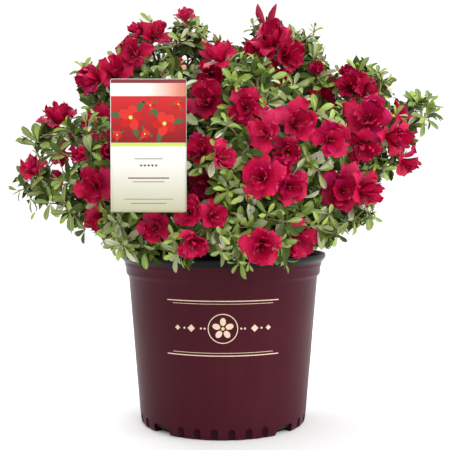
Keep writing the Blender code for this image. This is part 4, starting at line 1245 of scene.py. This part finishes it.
PETAL_ROWS = np.array([0.00, 0.14, 0.28, 0.42, 0.56, 0.70, 0.82, 0.92, 1.00])
PETAL_OUT = np.array([0.06, 0.12, 0.215, 0.35, 0.515, 0.68, 0.81, 0.93, 1.00])
PETAL_RISE = np.array([-0.60, -0.42, -0.27, -0.145, -0.05, 0.00, 0.02, 0.01, -0.04])
PETAL_WIDE = np.array([0.05, 0.095, 0.165, 0.255, 0.35, 0.415, 0.43, 0.38, 0.22])
PETAL_ACROSS = np.linspace(-1.0, 1.0, 9)
PETAL_FACES = [
    (r * 9 + c, r * 9 + c + 1, r * 9 + c + 10, r * 9 + c + 9) for r in range(8) for c in range(8)
]


def add_petal(heap, rng, axes, middle, turn, radius, length, wide, cup, tone):
    """One ruffled petal. The cup lifts its outer half, from 0, flat, to 1, upright."""
    t, s = PETAL_ROWS[:, None], PETAL_ACROSS[None, :]
    phase, other, third = (rng.uniform(0.0, 2 * math.pi) for _ in range(3))
    twist = rng.gauss(0.0, 0.10)
    frill = rng.uniform(0.7, 1.6)
    out = PETAL_OUT[:, None] * length * (1 - 0.40 * cup * t)
    rise = PETAL_RISE[:, None] + cup * (0.08 + 0.80 * t) * t
    half = PETAL_WIDE[:, None] * wide * (1.0 + 0.08 * np.sin(other + 8.0 * t) * t)
    tip = 1.0 - 0.24 * t ** 3 * s ** 2 + 0.045 * t ** 4 * np.sin(7.5 * s + phase)
    wave = np.sin(11.0 * t + other + 1.4 * np.sign(s))
    ruffle = 0.060 * frill * t ** 2 * np.sin(3.6 * s + phase)
    ruffle = ruffle + 0.075 * frill * t ** 1.5 * abs(s) ** 1.5 * wave
    ruffle = ruffle + 0.026 * frill * t * np.sin(9.0 * s + 2.5 * t + third)
    ruffle = ruffle + (0.13 * t - 0.05) * s ** 2 * t + twist * s * t
    ruffle = ruffle - 0.030 * t * np.exp(-(s / 0.16) ** 2)
    x = radius * out * tip
    y = radius * half * s
    z = radius * (rise + ruffle)
    local = np.stack([x, y + 0 * x, z], axis=-1).reshape(-1, 3)
    spin = np.array(Matrix.Rotation(turn, 3, "Z"))
    points = local @ spin.T @ axes.T + middle
    heap.add(points, PETAL_FACES, [THROAT] * 16 + [tone] * 48)


def axes_for(heading):
    """Three axes as columns, the third along the heading."""
    return np.array(Vector(heading).to_track_quat("Z", "Y").to_matrix())


def add_bloom(heap, parts, rng, middle, heading, radius, closed=0.0):
    """A semi-double bloom: five outer petals that part, ruffled ones within, and stamens."""
    axes = axes_for(heading)
    mix = (CRIMSON, CRIMSON, CRIMSON, WINE, ROSE, ROSE) if rng.random() < 0.6 else (
        WINE, WINE, CRIMSON, MAGENTA, CRIMSON, ROSE, CRIMSON)
    start = rng.uniform(0.0, 2 * math.pi)
    for petal in range(5):
        turn = start + 2 * math.pi * petal / 5 + rng.gauss(0.0, 0.10)
        cup = min(1.0, max(-0.20, closed + rng.gauss(0.10, 0.21)))
        high = (axes @ np.array((math.cos(turn), math.sin(turn), 0.0)))[2]
        add_petal(heap, rng, axes, middle, turn, radius, rng.uniform(0.90, 1.10) + 0.10 * high,
                  rng.uniform(0.88, 1.08), cup, rng.choice(mix))
    inner = rng.randint(5, 9)
    for petal in range(inner):
        turn = start + 0.6 + 2 * math.pi * petal / inner + rng.gauss(0.0, 0.25)
        cup = min(1.0, closed + rng.uniform(0.25, 0.95))
        lift = middle + np.array(heading) * radius * rng.uniform(0.02, 0.10)
        add_petal(heap, rng, axes, lift, turn, radius, rng.uniform(0.40, 0.80),
                  rng.uniform(0.50, 0.90), cup, rng.choice(mix))
    for thread in range(4):
        turn = rng.uniform(0.0, 2 * math.pi)
        lean = rng.uniform(0.05, 0.30)
        reach = radius * (rng.uniform(0.30, 0.50) if thread else 0.62)
        way = axes @ np.array((math.cos(turn) * lean, math.sin(turn) * lean, 1.0))
        foot = middle - np.array(heading) * radius * 0.45
        path = np.array([foot, foot + way * reach * 0.9, foot + way * reach * 1.6])
        tube(parts, path, [0.00042, 0.00034, 0.00030], 3, 0)
        tube(parts, np.array([path[2] - way * 0.0006, path[2] + way * 0.0012]), [0.0007, 0.0006], 4, 1)


def curved(start, start_way, end, end_way, steps):
    """A path from start to end that leaves along one way and arrives along the other."""
    length = float(np.linalg.norm(end - start))
    a = start + start_way * length * 0.28
    b = end - end_way * length * 0.34
    t = np.linspace(0.0, 1.0, steps)[:, None]
    return (1 - t) ** 3 * start + 3 * t * (1 - t) ** 2 * a + 3 * t * t * (1 - t) * b + t ** 3 * end


def best_fork(forks, tip):
    """The fork that a twig to this tip leaves from: the nearest that needs no sharp turn."""
    def cost(fork):
        run = Vector(tip - fork[0])
        return run.length + (1.0 if run.angle(Vector(fork[1]), 0.0) > SHARPEST_FORK else 0.0)
    return min(forks, key=cost)


twigs = Heap("twigs")
leaves = Heap("leaves")
inner_leaves = Heap("inner_leaves")
petals = Heap("petals")
stamens = Heap("stamens")
buds = Heap("buds")
tones = [i for i, (_, _, often) in enumerate(LEAF_TONES) for _ in range(often)]


def part_way(path, share):
    """The place at a share of a twig's five points, and the way that the twig runs there."""
    i = share * 4
    low = int(i)
    run = path[low + 1] - path[low]
    return path[low] + run * (i - low), run / max(float(np.linalg.norm(run)), 1e-9)


def grow_twig(forks, sink, heading, least=THINNEST_TWIG):
    """A twig from the best fork to its sink, which bears forks of its own."""
    place, way, width = best_fork(forks, sink)
    run = sink - place
    length = float(np.linalg.norm(run))
    start_way = way * 0.5 + run / max(length, 1e-6) * 0.5
    path = curved(place, start_way, sink, np.array(heading), 5)
    root = max(least, width * 0.85)
    tube(twigs, path, tapered(path, root, max(least, root * 0.7)), 5, 0 if root > BROWN_FROM else 1)
    for share in FORK_SHARES:
        forks.append((*part_way(path, share), max(least, root * (1 - 0.3 * share))))
    return path


def add_bud(rng, foot, tip, radius):
    """A long pointed bud, furled to one side."""
    way = tip - foot
    side = np.cross(way, (0.2, 0.9, 0.3))
    side *= 0.06 * np.linalg.norm(way) / np.linalg.norm(side)
    share = np.array([0.0, 0.12, 0.35, 0.60, 0.82, 1.0])
    path = foot + share[:, None] * way + np.sin(share * 3.14)[:, None] * side
    radii = radius * np.array([0.34, 0.72, 0.98, 1.0, 0.62, 0.12])
    tube(buds, path, radii, 7, rng.choice((0, 0, 1)), relief=0.10, seed=rng.uniform(0, 50))
    tube(buds, np.array([foot - way * 0.10, foot + way * 0.06]), [radius * 0.34, radius * 0.50], 6, 2)


def grow_mass(number, name):
    """Twigs branch from the mass's stem, and end in its blooms and in rosettes of leaves."""
    rng = random.Random(4000 + number)
    middle, reach = Vector(MASSES[name][0]), MASSES[name][1]
    outward = (middle - CROWN_HEART).normalized()
    path = smooth_route(stems[name], 0.006)
    forks = [(path[-1], unit(path[-1] - path[-2]), STEM_RADII[1])]
    for row_name, mouth, heading, radius in bloom_rows:
        if row_name != name:
            continue
        add_bloom(petals, stamens, rng, mouth, heading, radius, 0.55 if radius < CLOSED_RADIUS else 0.0)
        way = np.array(heading)
        neck = mouth - way * radius * NECK
        grow_twig(forks, neck, heading)
        tube(twigs, np.array([neck - way * 0.004, neck + way * 0.002]), [0.0012, radius * 0.09], 6, 1)
        add_rosette(rng, neck - way * 0.002, heading, rng.uniform(*LEAF_LENGTHS),
                    rng.choice(tones), 6, name, flat=0.7, least=0.0)
    for bud_name, foot, tip in TALL_BUDS:
        if bud_name == name:
            foot, tip = np.array(foot) / 1000.0, np.array(tip) / 1000.0
            grow_twig(forks, foot, unit(tip - foot))
            add_bud(rng, foot, tip, BUD_RADIUS)
    for across, deep, high, turn, rise, long, count, tone in SHOOTS.get(name, []):
        place = np.array((across, deep, high)) / 1000.0
        heading = compass(turn, rise)
        if add_rosette(rng, place, heading, long / 1000.0 * CHIEF_STRETCH, tone, count, name,
                       flat=0.35, chief=True, least=0.5, low=34.0 if rise > 35 else 10.0):
            grow_twig(forks, place, heading)
    if name == "centre_left":
        hook = grow_twig(forks, TAG_HOOK - np.array((0.0, 0.0, 0.010)), (0.0, 0.0, 1.0), TAG_TWIG)
        top = TAG_HOOK + np.array((0.0, 0.0, 0.013))
        tube(twigs, np.array([hook[-1], TAG_HOOK, top]), [TAG_TWIG, 0.0011, 0.0009], 6, 1)
        add_rosette(rng, top, (0.0, 0.55, 0.83), 0.022, MID, 6, name, flat=0.2, chief=True, least=0.0)
    shoots = AIRY.get(name, DIRECTIONS)
    ways = [outward] + [spread_direction(step, number * MASS_TURN) for step in range(shoots - 1)]
    outer = round(shoots * (1.0 - INNER_SHARE))
    for step, way in enumerate(ways):
        if way.angle(Vector(path[-1]) - middle) < STEM_ANGLE:
            continue
        heading = (way * OUTWARD_PULL + outward + Vector((0.0, 0.0, UPWARD_PULL))).normalized()
        size = rng.uniform(*LEAF_LENGTHS)
        tone = rng.choice(tones)
        count = rng.randint(*ROSETTE_LEAVES)
        for inset in INSETS:
            inset *= 1.0 if step < outer else INNER_INSET
            place = np.array(middle + way * (reach * inset - size * 0.62))
            if not in_space([place, place + np.array(heading) * size * 0.4], name) or not has_room(place):
                continue
            heap = leaves
            # Painted shade: rosettes deep in a mass mostly take the darkest leaf tone, for the shade inside
            # the crown.
            if inset < SHADE_PAINTED_SHARE:
                heap, tone = inner_leaves, DEEP if rng.random() < 0.7 else MID
            if add_rosette(rng, place, heading, size, tone, count, name, heap=heap):
                add_side_leaves(rng, grow_twig(forks, place, heading), size, name)
                break


def add_side_leaves(rng, shoot, size, name):
    """Plain leaves along a shoot, below its rosette."""
    for share in SIDE_LEAVES:
        here, run = part_way(shoot, share)
        turn = rng.uniform(0.0, 2 * math.pi)
        across = unit(np.cross(run, (0.3, 0.2, 0.9)))
        out = math.cos(turn) * across + math.sin(turn) * np.cross(run, across)
        lift = rng.uniform(0.3, 0.9)
        way = out * math.cos(lift) + run * math.sin(lift)
        up = run * math.cos(lift) - out * math.sin(lift)
        length = size * rng.uniform(0.60, 0.90)
        tip = here + way * length
        if in_space([tip], name) and clear_of_pot([tip]) and within_outline(tip) and not hides_bloom(tip):
            # Painted shade: these leaves below the rosettes take the dark tones, for the shade there.
            add_leaf(inner_leaves, here, way, up, length, length * LEAF_WIDTH * 0.5,
                     0.3, 0.4, rng.choice((DEEP, MID)), True)


for number, name in enumerate(MASSES):
    grow_mass(number, name)

# Side shoots off the boughs and stems leaf out the heart of the crown, between the masses.
HEART_FROM, HEART_SPAN = np.array((-0.150, -0.070, 0.238)), np.array((0.270, 0.210, 0.212))
HEART_STEPS = np.array((0.8191725134, 0.6710436067, 0.5497004779))
HEART_TRIES = 520
HEART_CLEAR = -0.004  # from the nearest mass
HEART_LEAVES = (0.027, 0.036)
heart_rng = random.Random(7000)
heart_forks = []
for path, width in limb_paths:
    for i in range(len(path) // 3, len(path) - 1, 2):
        heart_forks.append((path[i], unit(path[i + 1] - path[i]), width * 0.5))
mass_places = np.array([place for place, _ in MASSES.values()])
mass_reaches = np.array([reach for _, reach in MASSES.values()])
for step in range(HEART_TRIES):
    place = HEART_FROM + HEART_SPAN * ((0.5 + step * HEART_STEPS) % 1.0)
    if (np.linalg.norm(mass_places - place, axis=1) - mass_reaches).min() < HEART_CLEAR:
        continue
    if not has_room(place):
        continue
    root = best_fork(heart_forks, place)[0]
    heading = (Vector(place - root).normalized() + Vector((0.0, 0.0, 0.45))).normalized()
    # Painted shade: rosettes in the heart of the crown mostly take the darkest leaf tone, for the shade
    # there.
    size, tone = heart_rng.uniform(*HEART_LEAVES), heart_rng.choice((DEEP, DEEP, MID))
    if add_rosette(heart_rng, place, heading, size, tone, heart_rng.randint(7, 10), None,
                   heap=inner_leaves, flat=0.2, least=0.5):
        grow_twig(heart_forks, place, heading)


def tinted(colour, factors, more_green=0.0):
    """A colour with each of its parts scaled."""
    red, green, blue = (part * factor for part, factor in zip(colour, factors))
    return (red, green + more_green, blue, 1.0)


twig_green = mottled("green_twig", (0.120, 0.095, 0.035, 1.0), (0.300, 0.220, 0.100, 1.0), 160.0,
                     Roughness=0.65)
twig_brown = mottled("brown_twig", (0.034, 0.022, 0.014, 1.0), (0.120, 0.072, 0.042, 1.0), 240.0,
                     Roughness=0.8)
twig_piece = twigs.build([twig_brown, twig_green])
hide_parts(*MASSES)
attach(twig_piece, "root")

leaf_finishes = []
for name, colour, _ in LEAF_TONES:
    darker, paler = tinted(colour, (0.70, 0.84, 0.74)), tinted(colour, (1.26, 1.10, 1.22))
    leaf_finishes.append(mottled(
        name, darker, paler, 90.0, detail=1.0, relief=(700.0, 0.0002, 0.5),
        Roughness=LEAF_ROUGH, Specular_IOR_Level=0.12 if name == "leaf_deep" else 0.50,
    ))
for heap in (leaves, inner_leaves):
    leaf_piece = heap.build(leaf_finishes)
    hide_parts(*MASSES)
    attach(leaf_piece, "root")

petal_finishes = []
for name, colour in PETAL_TONES:
    darker, paler = tinted(colour, (0.88,) * 3), tinted(colour, (1.05, 1.4, 1.25), 0.003)
    petal_finishes.append(mottled(
        name, darker, paler, 170.0, detail=2.0, edges=(0.30, 0.70), relief=(330.0, 0.0012, 0.55),
        Roughness=0.55, Specular_IOR_Level=0.16,
    ))
petal_piece = petals.build(petal_finishes)
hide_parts(*MASSES)
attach(petal_piece, "root")

filament = Finish("stamen_filament", Base_Color=(0.62, 0.06, 0.11, 1.0), Roughness=0.5)
anther = Finish("stamen_anther", Base_Color=(0.30, 0.12, 0.05, 1.0), Roughness=0.7)
stamen_piece = stamens.build([filament, anther])
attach(stamen_piece, "root")

bud_finishes = []
for name, colour in (("bud_wine", (0.250, 0.0060, 0.0300)), ("bud_rose", (0.300, 0.0100, 0.0420))):
    darker, paler = tinted(colour, (0.80,) * 3), tinted(colour, (1.15,) * 3)
    bud_finishes.append(mottled(
        name, darker, paler, 240.0, detail=2.0, edges=(0.30, 0.70), relief=(500.0, 0.0008, 0.5),
        Roughness=0.6, Specular_IOR_Level=0.12,
    ))
bud_piece = buds.build(bud_finishes + [leaf_finishes[YOUNG]])
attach(bud_piece, "root")


# ---------------------------------------------------------------- the care tag
# A printed card of thin plastic with rounded corners, held to a twig by the ring on its back.
# Its print is generic: colour bands, plain blossoms and a small line ornament.

TAG_SIZE = (0.081, 0.0008, 0.142)
TAG_CENTRE = Vector((-0.0790, -0.2500, 0.3580))
TAG_CORNER, TAG_CORNER_STEPS = 0.0022, 6
RING_RADIUS = 0.0026
RING_WIRE = 0.0007
PRINT_LIFT = 0.00012
TAG_FRONT = TAG_CENTRE.y - TAG_SIZE[1] / 2
BANDS = [
    # finish, lower and upper height
    ("dark", 0.4245, 0.4283), ("strip", 0.4108, 0.4243), ("panel", 0.3612, 0.4106), ("lime", 0.3572, 0.3610),
]
PRINTS = [
    # finish, colour, roughness, specular level
    ("dark", (0.160, 0.010, 0.012), 0.28, 0.5), ("lime", (0.420, 0.560, 0.085), 0.28, 0.5),
    ("red", (0.400, 0.012, 0.011), 0.30, 0.18), ("pale_red", (0.520, 0.026, 0.020), 0.30, 0.18),
    ("leaf", (0.035, 0.085, 0.020), 0.28, 0.5), ("wine", (0.120, 0.012, 0.020), 0.3, 0.5),
]
MOTIFS = [
    # across from the card's middle, height, petal length, turn: blossoms on the panel
    (-0.0190, 0.3880, 0.0125, 0.2), (0.0170, 0.3815, 0.0120, 0.9), (0.0020, 0.4010, 0.0052, 0.5),
    (-0.0040, 0.3705, 0.0052, 1.3), (0.0320, 0.4020, 0.0050, 0.1), (-0.0335, 0.3695, 0.0048, 0.6),
]
MOTIF_LEAVES = [
    # finish, how many, start of their turns, how far out, width, height, sides, lift, its step
    ("leaf", 3, 0.5, 1.15, 0.48, 1.24, 16, 2.0, 0.0), ("red", 5, 0.0, 0.58, 0.84, 1.04, 20, 3.0, 0.2),
]
TAG_RULES = [
    # height, half width, thickness, finish
    (0.3440, 0.0150, 0.0007, "leaf"), (0.3235, 0.0220, 0.0012, "wine"), (0.3195, 0.0170, 0.0006, "wine"),
    (0.3010, 0.0260, 0.0005, "leaf"), (0.2965, 0.0190, 0.0005, "leaf"),
]

pick()
bpy.ops.mesh.primitive_cube_add(size=1.0, location=TAG_CENTRE)
bpy.context.object.scale = TAG_SIZE
bpy.ops.object.transform_apply(location=True, rotation=True, scale=True)
tag = start_piece("care_tag_card")
round_corners(tag, TAG_SIZE[1] / 2, TAG_CORNER, TAG_CORNER_STEPS)
end_piece()

card = Finish("tag_card", Roughness=0.28, Specular_IOR_Level=0.5)
_, _, z = card.parts(card.place())
fade = card.step(z, 0.287, 0.352)
card.colour(card.blend(fade, (0.370, 0.352, 0.230, 1.0), (0.680, 0.675, 0.650, 1.0)))
card.bump(card.speckle(700.0, detail=2.0), 0.00006, 0.3)
tag.data.materials.append(card.material)
panel = Finish("tag_panel_print", Roughness=0.30, Specular_IOR_Level=0.18)
_, _, z = panel.parts(panel.place())
glow = panel.step(z + 0.006 * panel.speckle(60.0), 0.358, 0.412)
panel.colour(panel.blend(glow, (0.150, 0.0060, 0.008, 1.0), (0.460, 0.020, 0.022, 1.0)))
strip = Finish("tag_strip_print", Roughness=0.28)
x, _, _ = strip.parts(strip.place())
across = strip.step(x, -0.090, -0.045)
strip.colour(strip.blend(across, (0.80, 0.77, 0.70, 1.0), (0.52, 0.17, 0.11, 1.0)))
prints = {"panel": panel, "strip": strip}
for name, colour, rough, gloss in PRINTS:
    prints[name] = Finish(
        f"tag_{name}_print", Base_Color=(*colour, 1.0), Roughness=rough, Specular_IOR_Level=gloss
    )

tag_parts = [tag]


def print_shape(name, finish, wide, high, across, height, turn=0.0, lift=1.0, **outline):
    """Prints a flat shape across from the card's middle, a hair in front of the card."""
    place = (TAG_CENTRE.x + across, TAG_FRONT - lift * PRINT_LIFT, height)
    shape = front_shape(f"tag_{name}", wide, high, place, turn, **outline)
    shape.data.materials.append(prints[finish].material)
    tag_parts.append(shape)


for name, low, high in BANDS:
    print_shape(f"{name}_band", name, TAG_SIZE[0] - 0.0010, high - low, 0.0, (low + high) / 2, cells=(8, 4))
for motif, (across, high, long, turn) in enumerate(MOTIFS):
    for finish, count, start, out, wide, tall, sides, lift, rise in MOTIF_LEAVES:
        for leaf in range(count):
            angle = turn + start + 2 * math.pi * leaf / count
            print_shape(
                f"{finish}_{motif}_{leaf}", "pale_red" if finish == "red" and leaf % 2 == 0 else finish,
                long * wide, long * tall, across + long * out * math.sin(angle),
                high + long * out * math.cos(angle), angle, lift + leaf * rise, sides=sides,
            )
    print_shape(f"heart_{motif}", "lime", long * 0.34, long * 0.34, across, high, lift=4.4, sides=16)
for count, (high, half, thick, finish) in enumerate(TAG_RULES):
    print_shape(f"rule_{count}", finish, 2 * half, thick, 0.0, high, cells=(6, 1))
for count, across in enumerate((-0.0080, -0.0040, 0.0, 0.0040, 0.0080)):
    print_shape(f"diamond_{count}", "wine" if count % 2 else "leaf", 0.0021, 0.0021, across, 0.3370,
                math.pi / 4, cells=(2, 2))

pick()
bpy.ops.mesh.primitive_torus_add(
    major_segments=36, minor_segments=12, major_radius=RING_RADIUS, minor_radius=RING_WIRE,
    location=tuple(TAG_HOOK),
)
ring = bpy.context.object
bpy.ops.object.transform_apply(location=True, rotation=True, scale=True)
ring.data.materials.append(card.material)

tag = joined(tag_parts + [ring], "care_tag_card")
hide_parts("care_tag")
settle(tag)
